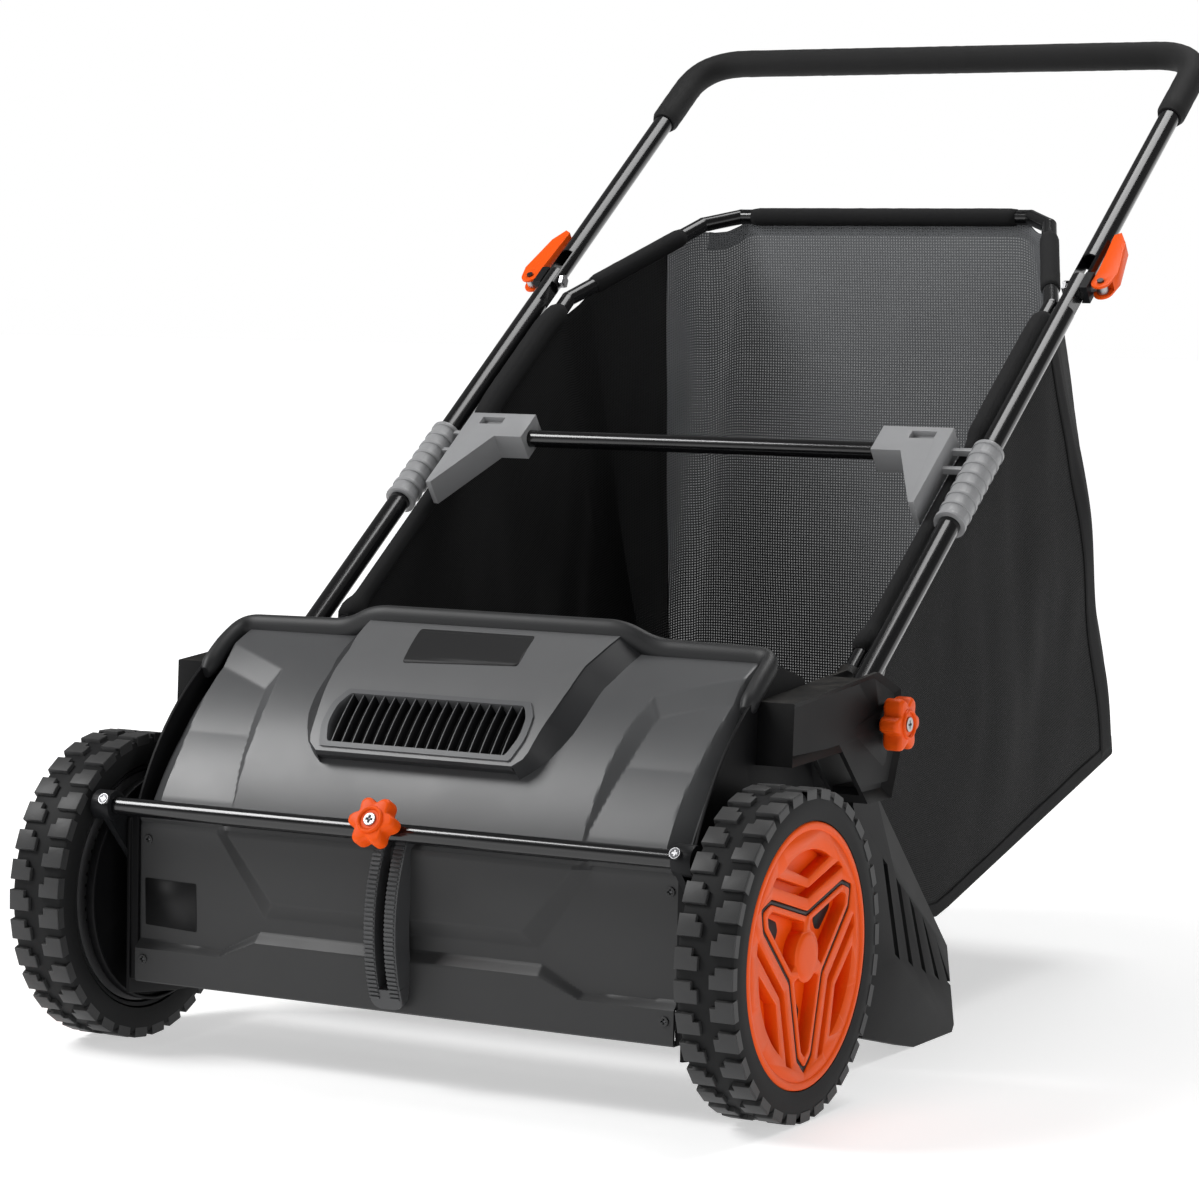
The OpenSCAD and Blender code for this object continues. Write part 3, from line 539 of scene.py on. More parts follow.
def colour_with_dust_and_sheen(name, colour, mottle, blotch, dust_and_sheen, patch, dust_and_sheen_colour):
    """A new material, mottled in colour, with pale dust and painted sheen mixed in on what faces up, with its
    shader and the mask's node.
    """
    material = bpy.data.materials.new(name)
    material.use_nodes = True
    tree = material.node_tree
    shader = tree.nodes["Principled BSDF"]
    uneven = group_node(tree, MOTTLE, Color=(*colour, 1.0), Amount=mottle, Scale=blotch)
    mask = group_node(tree, DUST_AND_SHEEN, Amount=dust_and_sheen, Scale=patch)
    mix = tree.nodes.new("ShaderNodeMix")
    mix.data_type = "RGBA"
    mix.inputs[7].default_value = (*dust_and_sheen_colour, 1.0)
    tree.links.new(mask.outputs["Mask"], mix.inputs[0])
    tree.links.new(uneven.outputs["Color"], mix.inputs[6])
    tree.links.new(mix.outputs[2], shader.inputs["Base Color"])
    return material, shader, mask


def bumped(tree, shader, height, depth):
    """Bumps a shader's surface by a height, with its depth in millimetres."""
    bump = tree.nodes.new("ShaderNodeBump")
    set_values(bump, Strength=1.0, Distance=depth * MM)
    tree.links.new(height, bump.inputs["Height"])
    tree.links.new(bump.outputs["Normal"], shader.inputs["Normal"])


def solid_finish(name, colour, rough, metal=0.0, coat=0.0, grain=900.0, depth=0.05, mottle=0.05, dust_and_sheen=0.0,
                 shine=0.3):
    """A finish for a hard piece; depth is its grain's, in millimetres."""
    material, shader, mask = colour_with_dust_and_sheen(name, colour, mottle, 45.0, dust_and_sheen, 70.0, (0.16, 0.145, 0.125))
    tree = material.node_tree
    set_values(shader, Metallic=metal, Coat_Weight=coat, Coat_Roughness=0.08, Specular_IOR_Level=shine)
    surface = group_node(tree, GRAIN, Scale=grain, Roughness=rough, Spread=0.12)
    duller = maths(tree, "MULTIPLY", mask.outputs["Mask"], 0.6)
    tree.links.new(maths(tree, "ADD", surface.outputs["Roughness"], duller, True), shader.inputs["Roughness"])
    bumped(tree, shader, surface.outputs["Height"], depth)
    return material


def cloth_finish(name, colour, rough, pitch, width, open_alpha, depth):
    """A finish for woven cloth or netting; open_alpha is how solid the gaps between threads are."""
    material, shader, _ = colour_with_dust_and_sheen(name, colour, 0.12, 18.0, 0.0, 50.0, (0.2, 0.18, 0.15))
    tree = material.node_tree
    set_values(shader, Specular_IOR_Level=0.3, Roughness=rough)
    weave = group_node(tree, WEAVE, Pitch=pitch, Width=width)
    if open_alpha < 1.0:
        solid = maths(tree, "MULTIPLY", weave.outputs["Thread"], 1.0 - open_alpha)
        tree.links.new(maths(tree, "ADD", solid, open_alpha, True), shader.inputs["Alpha"])
    bumped(tree, shader, weave.outputs["Height"], depth)
    return material


HOOD_GREY = solid_finish("hood grey", (0.066, 0.0675, 0.070), 0.40, shine=0.5, grain=1500.0, depth=0.03,
                         dust_and_sheen=0.05)
BONNET_GREY = solid_finish("bonnet grey", (0.105, 0.1065, 0.109), 0.40, shine=0.5, grain=1500.0, depth=0.03,
                           dust_and_sheen=0.05)
RIM_BLACK = solid_finish("rim black", (0.010, 0.0105, 0.0115), 0.52, shine=0.4, dust_and_sheen=0.05)
PANEL_GREY = solid_finish("panel charcoal", (0.029, 0.0293, 0.030), 0.45, grain=1300.0, depth=0.03)
VENT_GREY = solid_finish("vent frame", (0.09, 0.092, 0.096), 0.40)
# Painted shade: the slats, vent plastic like the frame, are near black for the shade between them.
SLAT_SHADE = solid_finish("vent slat", (0.008, 0.008, 0.009), 0.5, shine=0.25)
# Painted shade: near black for the inside of the vent and the slot of the height rack.
VENT_SHADE = solid_finish("vent inside", (0.006, 0.006, 0.007), 0.7)
# Painted shade: a darker copy of the bonnet grey for its sloping sides and nose, which face away from the
# light.
BONNET_SHADED_SIDE = solid_finish("bonnet side", (0.022, 0.0225, 0.024), 0.42, shine=0.3, grain=1500.0, depth=0.03)
BADGE_BLACK = solid_finish("badge", (0.006, 0.006, 0.0065), 0.55, grain=400.0, depth=0.01)
FRAME_BLACK = solid_finish("frame plastic", (0.008, 0.0083, 0.0092), 0.42, shine=0.14, dust_and_sheen=0.04)
# Painted sheen: the large dust amount here lightens the bracket's faces that look up, as the light falls on
# them.
BRACKET_BLACK = solid_finish("bracket plastic", (0.0045, 0.0046, 0.005), 0.5, shine=0.12, dust_and_sheen=0.25)
SIDE_BLACK = solid_finish("side plastic", (0.004, 0.004, 0.0045), 0.5, shine=0.12)
RACK_GREY = solid_finish("rack plastic", (0.045, 0.046, 0.048), 0.40, shine=0.5)
TUBE_BLACK = solid_finish("gloss tube", (0.004, 0.004, 0.0045), 0.20, coat=0.35, shine=0.4, grain=300.0,
                          depth=0.004)
ZINC = solid_finish("zinc", (0.40, 0.40, 0.41), 0.36, metal=1.0, grain=600.0, depth=0.02, mottle=0.12)
DARK_STEEL = solid_finish("dark steel", (0.09, 0.09, 0.095), 0.34, metal=1.0, mottle=0.15)
NYLON = solid_finish("nylon", (0.55, 0.53, 0.47), 0.5, mottle=0.08)
GEAR_GREY = solid_finish("gear plastic", (0.05, 0.05, 0.052), 0.5)
TYRE = solid_finish("tyre rubber", (0.034, 0.0343, 0.035), 0.5, shine=0.3, grain=700.0, depth=0.08, dust_and_sheen=0.10)
# Painted shade: a darker copy of the tyre rubber for the sidewalls and the floor between the lugs.
TYRE_SHADED_WALL = solid_finish("tyre wall", (0.011, 0.0112, 0.0116), 0.6, shine=0.14, grain=900.0, depth=0.05)
ORANGE = solid_finish("orange plastic", (0.80, 0.086, 0.003), 0.42, shine=0.16, grain=1200.0, depth=0.02,
                      mottle=0.04)
INLAY = solid_finish("wheel inlay", (0.012, 0.012, 0.013), 0.45)
# Painted shade: near black for the orange wheel's inside, its barrel, ribs and the patches standing in for
# holes at the arm tips.
WHEEL_SHADE = solid_finish("wheel inside", (0.012, 0.012, 0.013), 0.6)
CLIP_GREY = solid_finish("clip plastic", (0.27, 0.272, 0.278), 0.42, grain=1300.0, depth=0.03)
FOAM = solid_finish("foam rubber", (0.005, 0.005, 0.0052), 0.75, grain=1600.0, depth=0.25, mottle=0.15)
BRUSH_DARK = solid_finish("brush strip", (0.02, 0.02, 0.021), 0.5)
BRISTLE = solid_finish("bristle", (0.02, 0.02, 0.022), 0.5, grain=2000.0, depth=0.01)
SLEEVE_CLOTH = cloth_finish("sleeve cloth", (0.006, 0.006, 0.0065), 0.88, 1400.0, 0.9, 1.0, 0.12)
SIDE_MESH = cloth_finish("side netting", (0.008, 0.0082, 0.0085), 0.85, 900.0, 0.6, 0.82, 0.08)
REAR_MESH = cloth_finish("rear netting", (0.12, 0.124, 0.13), 0.8, 700.0, 0.55, 0.60, 0.1)
FLOOR_CLOTH = cloth_finish("floor cloth", (0.012, 0.012, 0.013), 0.85, 1100.0, 0.9, 1.0, 0.3)


# ---------------------------------------------------------------- Repeats

def repeat_tree(name, material):
    """A geometry tree that sets copies of a unit along a line, turned about X, with its inputs' ids."""
    tree = bpy.data.node_groups.new(name, "GeometryNodeTree")
    tree.interface.new_socket(name="Geometry", in_out="OUTPUT", socket_type="NodeSocketGeometry")
    ids = {}
    for label, kind in (("Count", "Int"), ("Unit", "Object"), ("Start", "Vector"), ("Step", "Vector"),
                        ("Turn", "Float"), ("Phase", "Float"), ("Sway", "Float")):
        socket = tree.interface.new_socket(name=label, in_out="INPUT", socket_type="NodeSocket" + kind)
        ids[label] = socket.identifier
    given, out = tree.nodes.new("NodeGroupInput"), tree.nodes.new("NodeGroupOutput")
    line = tree.nodes.new("GeometryNodeMeshLine")
    tree.links.new(given.outputs["Count"], line.inputs["Count"])
    tree.links.new(given.outputs["Start"], line.inputs["Start Location"])
    tree.links.new(given.outputs["Step"], line.inputs["Offset"])
    info = tree.nodes.new("GeometryNodeObjectInfo")
    tree.links.new(given.outputs["Unit"], info.inputs["Object"])
    sway = tree.nodes.new("FunctionNodeRandomValue")
    sway.data_type = "FLOAT"
    sway.inputs["Seed"].default_value = 7
    tree.links.new(given.outputs["Sway"], sway.inputs[3])
    tree.links.new(maths(tree, "MULTIPLY", given.outputs["Sway"], -1.0), sway.inputs[2])
    index = tree.nodes.new("GeometryNodeInputIndex")
    turned_by = maths(tree, "MULTIPLY", index.outputs[0], given.outputs["Turn"])
    angle = maths(tree, "ADD", turned_by, given.outputs["Phase"])
    spin = tree.nodes.new("ShaderNodeCombineXYZ")
    tree.links.new(maths(tree, "ADD", angle, sway.outputs[1]), spin.inputs["X"])
    copies = tree.nodes.new("GeometryNodeInstanceOnPoints")
    tree.links.new(line.outputs[0], copies.inputs["Points"])
    tree.links.new(info.outputs["Geometry"], copies.inputs["Instance"])
    tree.links.new(spin.outputs[0], copies.inputs["Rotation"])
    real = tree.nodes.new("GeometryNodeRealizeInstances")
    paint = tree.nodes.new("GeometryNodeSetMaterial")
    paint.inputs["Material"].default_value = material
    tree.links.new(copies.outputs[0], real.inputs[0])
    tree.links.new(real.outputs[0], paint.inputs["Geometry"])
    tree.links.new(paint.outputs[0], out.inputs["Geometry"])
    return tree, ids


def repeated(name, tree, ids, unit, count, start, step=(0.0, 0.0, 0.0), turn=0.0, phase=0.0, sway=0.0):
    """The plain mesh of count copies of a piece made about the origin; lengths are in millimetres."""
    obj = shown(name, bpy.data.meshes.new(name))
    modifier = obj.modifiers.new("repeat", "NODES")
    modifier.node_group = tree
    values = {"Count": count, "Unit": unit, "Turn": float(turn), "Phase": float(phase), "Sway": float(sway),
              "Start": tuple(Vector(start) * MM), "Step": tuple(Vector(step) * MM)}
    for label, value in values.items():
        modifier[ids[label]] = value
    obj.update_tag()
    return settle(obj)


def ring_of(name, unit, count, centre, material, phase=0.0, turn=None):
    """Copies of a piece made about the origin, turned about X round a centre."""
    tree, ids = repeat_tree("ring " + name, material)
    turn = 2 * math.pi / count if turn is None else turn
    made = repeated(name, tree, ids, unit, count, centre, turn=turn, phase=phase)
    bpy.data.objects.remove(unit)
    return made


def row_of(name, unit, count, start, step, material):
    """Copies of a piece made about the origin, in an even row."""
    made = repeated(name, *repeat_tree("row " + name, material), unit, count, start, step)
    bpy.data.objects.remove(unit)
    return made


# ---------------------------------------------------------------- Hood

BLADE_IN = [(23.7, 164.0), (31.0, 166.0), (40.0, 168.0), (48.0, 171.0), (56.0, 177.0)]
BLADE_OUT = [(23.7, 164.0), (32.0, 172.0), (42.0, 180.0), (52.0, 187.0)]
END_FACE = [(21.0, 237.0), (25.4, 237.8), (32.0, 237.0), (44.0, 240.6), (53.0, 242.5), (57.6, 243.6),
            (63.0, 244.0)]


def hood_drop(x, a):
    """How far the hood's skin lies under its round, for the raised blades and sunk end panels."""
    w = abs(x)
    depth = 8.0 * clamp((a - 20.0) / 20.0, 0.25, 1.0)
    inner, outer = between(BLADE_IN, a), between(BLADE_OUT, a)
    if a > 52.0:
        low = 52.0 + (w - 186.5) * (5.6 / 57.1)
        high = 56.0 + (w - 177.0) * (6.8 / 61.5)
        from_top = clamp((high - a) / max(high - low, 0.5))
        outer = max(outer, inner + 0.5)
        sunk = depth * min(from_top, clamp((w - inner) / max(outer - inner, 1.5)))
    else:
        sunk = depth * clamp((w - inner) / max(outer - inner, 1.5))
    end = between(END_FACE, a)
    if w > end:
        sunk += (w - end) / (252.0 - end) * 11.0
    return sunk


def make_hood():
    """The round hood with raised blades, sunk end panels and steep ends."""
    columns = steps(-251.5, -150.0, 72) + steps(-150.0, 150.0, 30)[1:] + steps(150.0, 251.5, 72)[1:]
    rows = []
    for a in steps(21.0, 71.5, 114):
        row = [on_hood(x, a, HOOD_R - hood_drop(x, a)) for x in columns]
        for side in (-1.0, 1.0):
            edge = HOOD_R - hood_drop(side * 251.5, a)
            ends = [on_hood(side * 252.6, a, edge - 0.2), on_hood(side * 254.6, a, edge - 3.5),
                    on_hood(side * 256.6, a, 224.0), on_hood(side * 257.2, a, 206.0)]
            row = ends[::-1] + row if side < 0 else row + ends
        rows.append(row)
    hood = grid("hood_shell", rows, HOOD_GREY, (0.0, -1.0, 1.0))
    hood = thicken(hood, 2.6)
    sharpen(hood, 24.0)
    return place(hood, "root", "hood_plastic", "hood")


def make_rim():
    """The rolled lip along the hood's top, raised over the bonnet and turned down at both ends."""
    half = [on_hood(x, a, HOOD_R + rise) for x, a, rise in (
        (0.0, 71.0, 16.0), (120.0, 71.0, 16.0), (148.0, 70.8, 2.0), (254.5, 70.6, 0.5), (257.0, 63.0, -3.0),
        (257.0, 55.5, -8.0))]
    corners = [flipped(p) for p in half[:0:-1]] + half
    path = along(bend_path(corners, 15.0, 8), 5.0)

    def thickness(share):
        ends = min(share, 1.0 - share) * (len(path) - 1) * 5.0
        return 7.4 * clamp(0.35 + ends / 14.0) ** 0.5

    rim = sweep("hood_rim", path, thickness, RIM_BLACK, 24)
    for v in rim.data.vertices:
        point = v.co / MM
        near = min(path, key=lambda p: (p - point).length)
        out = Vector((0.0, near.y - BRUSH.y, near.z - BRUSH.z)).normalized()
        around = ACROSS.cross(out)
        off = point - near
        point = near + off + out * (off.dot(out) * 0.35) - around * (off.dot(around) * 0.2)
        v.co = point * MM
    sharpen(rim, 50.0)
    place(rim, "root", "hood_plastic")
    rows = []
    rise = [(0.0, 12.0), (120.0, 12.0), (148.0, 0.0), (254.0, -2.0)]
    for x in sorted(set([round(v, 2) for v in steps(-254.0, 254.0, 60)] + [-148.0, -120.0, 120.0, 148.0])):
        low, high = HOOD_R - 4.0, HOOD_R + between(rise, abs(x))
        rows.append([on_hood(x, a, r) for a, r in ((69.6, low), (69.6, high), (72.4, high), (72.4, low))])
    web = loft("hood_rim_web", rows, RIM_BLACK)
    sharpen(web, 40.0)
    place(web, "root", "hood_plastic")


# ---------------------------------------------------------------- Bonnet

BONNET_TOP = [(35.3, 92.0), (36.2, 98.0), (37.5, 102.0), (43.0, 105.5), (48.0, 109.5), (53.0, 112.0),
              (59.0, 112.5), (63.0, 116.5), (69.0, 120.0)]
BONNET_BASE = [(34.4, 94.0), (36.0, 103.0), (39.0, 115.0), (42.4, 123.0), (45.5, 128.0), (50.0, 130.5),
               (57.0, 131.5), (60.0, 135.0), (69.0, 139.0)]
VENT_OUT = [(-86.0, 48.6), (86.0, 48.6), (95.0, 45.2), (96.0, 40.6), (89.5, 36.1), (-89.5, 36.1),
            (-96.0, 40.6), (-95.0, 45.2)]
VENT_IN = [(-82.0, 47.6), (82.0, 47.6), (89.0, 44.8), (90.0, 41.0), (84.0, 37.1), (-84.0, 37.1),
           (-90.0, 41.0), (-89.0, 44.8)]
SLATS = 17
SLAT_PITCH = 10.0


def arc_plate(name, loops, low, high, material, every=1.5):
    """A plate with holes, drawn in (x, height angle) and wrapped round the hood between two radii."""
    bm = filled(loops)
    low_a, high_a = min(v.co.y for v in bm.verts), max(v.co.y for v in bm.verts)
    for a in steps(low_a, high_a, max(1, int((high_a - low_a) / every)))[1:-1]:
        everything = list(bm.verts) + list(bm.edges) + list(bm.faces)
        bmesh.ops.bisect_plane(bm, geom=everything, plane_co=(0.0, a, 0.0), plane_no=(0.0, 1.0, 0.0))
    return raised(name, bm, low, high, material, on_hood)


def make_bonnet():
    """The raised middle cover: a round top with the vent's opening, sloping sides and a front lip, the sides
    and lip in a darker copy of its grey as painted shade.
    """
    angles = steps(35.3, 71.0, 24)
    top = [(between(BONNET_TOP, a), a) for a in angles]
    outline = [(-w, a) for w, a in top] + [(w, a) for w, a in reversed(top)]
    cover = arc_plate("bonnet_top", [outline, VENT_OUT], BONNET_R - 3.0, BONNET_R, BONNET_GREY)
    rows = []
    for a in angles:
        t = (a - 35.3) / (71.0 - 35.3)
        low = 34.4 + t * (71.0 - 34.4)
        rows.append((on_hood(between(BONNET_TOP, a), a, BONNET_R),
                     on_hood(between(BONNET_TOP, a) + 0.6, a - 0.05, BONNET_R - 1.2),
                     on_hood(between(BONNET_BASE, low), low, HOOD_R - 1.5)))
    # The sides and the nose take the darker copy as painted shade.
    right = grid("bonnet_side", rows, BONNET_SHADED_SIDE, (1.0, 0.0, 0.2))
    left = mirrored(right, "bonnet_side_left")
    front = []
    for x in steps(-92.0, 92.0, 8):
        front.append([on_hood(x, 35.3, BONNET_R), on_hood(x, 35.15, BONNET_R - 1.0),
                      on_hood(x * 1.01, 34.9, BONNET_R - 4.0), on_hood(x * 1.02, 35.6, HOOD_R - 2.0)])
    nose = grid("bonnet_nose", front, BONNET_SHADED_SIDE, (0.0, -1.0, -0.6))
    skirt = joined("bonnet_skirt", [left, right, nose])
    for piece in (cover, skirt):
        bm = bmesh.new()
        bm.from_mesh(piece.data)
        bmesh.ops.remove_doubles(bm, verts=bm.verts, dist=0.0002)
        bm.to_mesh(piece.data)
        bm.free()
        piece.data.polygons.foreach_set("use_smooth", [True] * len(piece.data.polygons))
        sharpen(piece, 22.0)
        place(piece, "root", "hood_plastic")


def make_vent():
    """The vent's frame, its inside painted near black as shade, and its row of thin slats, painted dark as
    shade with their top edges in the frame's grey.
    """
    outer, inner = rounded(VENT_OUT, 2.0, 3), rounded(VENT_IN, 2.0, 3)
    frame_ring = arc_plate("vent_frame", [outer, inner], BONNET_R - 10.0, BONNET_R + 1.6, VENT_GREY)
    frame_ring = soften(frame_ring, 0.6, 2, 40.0)
    place(frame_ring, "root", "vent_plastic", "vent_grille")
    # A near-black plate inside the opening: painted shade.
    back = arc_plate("vent_inside", [inner], BONNET_R - 12.0, BONNET_R - 10.5, VENT_SHADE)
    place(back, "root", "vent_plastic")
    rings = []
    for a in steps(37.1, 47.6, 10):
        base = on_hood(0.0, a, BONNET_R - 9.0)
        top = on_hood(0.0, a, BONNET_R - 0.2)
        rings.append([base + ACROSS * -0.9, top + ACROSS * -0.6, top + ACROSS * -0.3 + (top - base) * 0.05,
                      top + ACROSS * 0.3 + (top - base) * 0.05, top + ACROSS * 0.6, base + ACROSS * 0.9])
    ridge = []
    for a in steps(37.2, 47.5, 10):
        low = on_hood(0.0, a, BONNET_R - 0.4)
        high = on_hood(0.0, a, BONNET_R + 0.5)
        ridge.append([low + ACROSS * -0.5, high + ACROSS * -0.35, high + ACROSS * 0.35, low + ACROSS * 0.5])
    # The slats are painted near black as shade; their top edges keep the frame's grey.
    for name, rows, material in (("vent_slats", rings, SLAT_SHADE), ("vent_slat_edges", ridge, VENT_GREY)):
        unit = loft("slat_unit", rows, material)
        first = (-SLAT_PITCH * (SLATS - 1) / 2, 0.0, 0.0)
        slats = row_of(name, unit, SLATS, first, (SLAT_PITCH, 0.0, 0.0), material)
        sharpen(slats, 35.0)
        place(slats, "root", "vent_plastic")


def make_badge():
    """The blank dark plate on the bonnet."""
    outline = rounded([(-64.0, 67.4), (46.0, 67.4), (53.0, 57.6), (-54.0, 56.4)], 2.0, 3)
    badge = arc_plate("bonnet_badge", [outline], BONNET_R - 0.5, BONNET_R + 0.35, BADGE_BLACK, 1.0)
    place(badge, "root", "panel_plastic")


# ---------------------------------------------------------------- Front panel

PANEL_SUNK = 7.0
STRIP_TOP = [(0.0, 112.0), (133.0, 112.0), (170.0, 93.0), (253.0, 96.0)]
STRIP_LOW = [(0.0, 103.0), (133.0, 104.0), (170.0, 89.0), (253.0, 89.0)]


def panel_sink(x, z):
    """How far the panel's skin lies behind its front face."""
    w = abs(x)
    top, low = between(STRIP_TOP, w), between(STRIP_LOW, w)
    if z <= low:
        return 0.0
    if z <= top:
        return PANEL_SUNK * (z - low) / (top - low)
    inner = 117.0 + (z - 137.0) * (44.0 / 53.0)
    outer = 131.0 + (z - 127.0) * (46.0 / 63.0)
    sideways = clamp((w - inner) / (outer - inner))
    downwards = clamp((137.0 - z) / 13.0)
    return PANEL_SUNK * max(sideways, downwards)


def make_panel():
    """The front panel with its raised shield, sunk field and the strip that faces up."""
    columns = steps(-253.0, -100.0, 102) + steps(-100.0, 100.0, 16)[1:] + steps(100.0, 253.0, 102)[1:]
    rows = []
    for z in steps(62.0, 190.0, 86):
        rows.append([Vector((x, PANEL_Y + panel_sink(x, z), z)) for x in columns])
    rows.append([Vector((x, PANEL_Y + panel_sink(x, 190.0) + 0.8, 193.5)) for x in columns])
    rows.append([Vector((x, PANEL_Y + 6.0, 196.6)) for x in columns])
    under = [[Vector((x, PANEL_Y + back, z)) for x in columns] for z, back in ((60.6, 14.0), (60.6, 1.5))]
    panel = grid("front_panel_shell", under + rows, PANEL_GREY, (0.0, -1.0, 0.0))
    panel = thicken(panel, 2.5)
    sharpen(panel, 24.0)
    place(panel, "root", "panel_plastic", "front_panel")
    outline = rounded([(-247.0, 108.0), (-196.0, 106.0), (-197.0, 146.0), (-248.0, 147.0)], 1.5, 3)
    field = PANEL_Y + PANEL_SUNK
    label = plate("blank_label", [outline], field - 0.5, field + 0.4, BADGE_BLACK,
                  lambda u, v, w: Vector((u, w, v)))
    place(label, "root", "panel_plastic")


# ---------------------------------------------------------------- Knobs

LOBES = 6


def lobed(outer, inner, count=120):
    """The outline of a star knob: round lobes with narrow hollows between them."""
    points = []
    for k in range(count):
        a = 2 * math.pi * k / count
        hollow = abs(math.sin(LOBES * a / 2.0)) ** 3.0
        r = (outer - (outer - inner) * hollow)
        lobe = 1.0 + 0.03 * math.cos(LOBES * a)
        points.append((r * math.cos(a) * lobe / 1.03, r * math.sin(a) * lobe / 1.03))
    return points


def knob_rings(outline, levels, put):
    """Rings of a knob: levels are (height, scale) rows."""
    return [[put(u * s, v * s, w) for u, v in outline] for w, s in levels]


def screw_head(name, radius, height, put, material):
    """A pan head with a cross recess, its floor in dark steel as painted shade."""
    circle = round_loop(radius, 32)
    arm, half = radius * 0.55, radius * 0.14
    cross = [(arm, half), (half, half), (half, arm), (-half, arm), (-half, half), (-arm, half), (-arm, -half),
             (-half, -half), (-half, -arm), (half, -arm), (half, -half), (arm, -half)]
    head = plate(name, [circle, cross[::-1]], 0.0, height, material, put)
    head = soften(head, radius * 0.18, 3, 50.0)
    sunk = [(u * 0.8, v * 0.8) for u, v in circle]
    # The floor seen through the cross is painted shade in the recess.
    floor = plate(name + "_floor", [sunk], 0.05, height * 0.45, DARK_STEEL, put)
    return joined(name, [head, floor])


def star_knob(node, centre, axis, up, outer, inner, deep):
    """A star knob with rounded lobes, a raised ring and a screw sunk in the middle, in a knob's place."""
    axis, up = Vector(axis).normalized(), Vector(up).normalized()
    side = up.cross(axis).normalized()

    def put(u, v, w):
        return Vector(centre) + side * u + up * v + axis * w

    name = node + "_star"
    levels = [(0.0, 0.80), (0.3, 0.90), (1.4, 0.965), (3.4, 1.0), (deep - 3.6, 1.0), (deep - 1.6, 0.965),
              (deep - 0.4, 0.90), (deep, 0.82)]
    star = loft(name + "_body", knob_rings(lobed(outer, inner), levels, put), ORANGE)
    r = outer * 0.46
    ring_rows = [(deep - 2.0, r + 1.6), (deep + 1.0, r + 1.6), (deep + 2.0, r + 0.9), (deep + 2.2, r),
                 (deep + 1.6, r - 0.9), (deep + 0.2, r - 1.4), (deep - 2.0, r - 1.4)]
    ring = revolve(name + "_ring", ring_rows, centre, axis, ORANGE, 64)
    knob = joined(name, [star, ring])
    sharpen(knob, 50.0)
    place(knob, node, "orange_plastic", node)
    cup_rows = [(deep - 0.4, r - 0.6), (deep + 0.35, r - 0.6), (deep + 0.2, r - 2.6), (deep + 0.2, 0.0),
                (deep - 0.4, 0.0)]
    place(revolve(name + "_cup", cup_rows, centre, axis, ORANGE, 48), node, "orange_plastic")
    screw = screw_head(name + "_screw", r * 0.55, 1.3, lambda u, v, w: put(u, v, w + deep + 0.2), ZINC)
    place(screw, node, "zinc")


# ---------------------------------------------------------------- Wheels

ARMS = [math.radians(d) for d in (-90.0, 30.0, 150.0)]
LUGS = 32


def wheel_point(u, v, w):
    """A point of the right wheel's plane: u backwards, v up, w along X."""
    return Vector((w, AXLE.y + u, AXLE.z + v))


def turned(points, angle):
    """An outline turned about the origin."""
    c, s = math.cos(angle), math.sin(angle)
    return [(u * c - v * s, u * s + v * c) for u, v in points]


def inset(points, by):
    """A closed outline moved inwards, for outlines that turn to the left."""
    out = []
    for i, p in enumerate(points):
        here = Vector(p)
        before = (here - Vector(points[i - 1])).normalized()
        after = (Vector(points[(i + 1) % len(points)]) - here).normalized()
        n1, n2 = Vector((-before.y, before.x)), Vector((-after.y, after.x))
        n = n1 + n2
        if n.length < 1e-6:
            n = n1
        n.normalize()
        out.append(tuple(here + n * (by / max(n.dot(n1), 0.35))))
    return out


def star_outline():
    """The three-armed outline that the dark inlay follows."""
    points = []
    for angle in ARMS:
        points += turned([(80.0, -14.0), (92.0, 0.0), (80.0, 14.0)], angle)
        points += turned([(35.0, 0.0)], angle + math.radians(60.0))
    return points


def between_arms(angle):
    """The V-groove and the crescent pocket of one gap, as outlines round its bisector."""
    leg = Vector((math.cos(math.radians(74.6)), math.sin(math.radians(74.6))))

    def arm_at(apex, length, side=1.0):
        return (apex + leg.x * length, side * leg.y * length)

    groove = [arm_at(44.5, 64.0, -1.0), arm_at(53.0, 56.0, -1.0), (53.0, 0.0), arm_at(53.0, 56.0),
              arm_at(44.5, 64.0), (44.5, 0.0)]
    arc = arc_points(82.5, [math.radians(d) for d in steps(-28.0, 28.0, 14)])
    pocket = [(60.0, 0.0)] + arc
    return rounded(turned(groove, angle), 1.8, 3), rounded(turned(pocket, angle), 1.2, 2)


def on_both_wheels(*rows):
    """Rides right-hand pieces on the right wheel and their mirror images on the left one."""
    for word in ("right", "left"):
        for piece, slot, node in rows:
            obj = piece if word == "right" else mirrored(piece, piece.name.replace("right", "left"))
            place(obj, "wheel_" + word, slot, *([f"{node}_{word}"] if node else []))


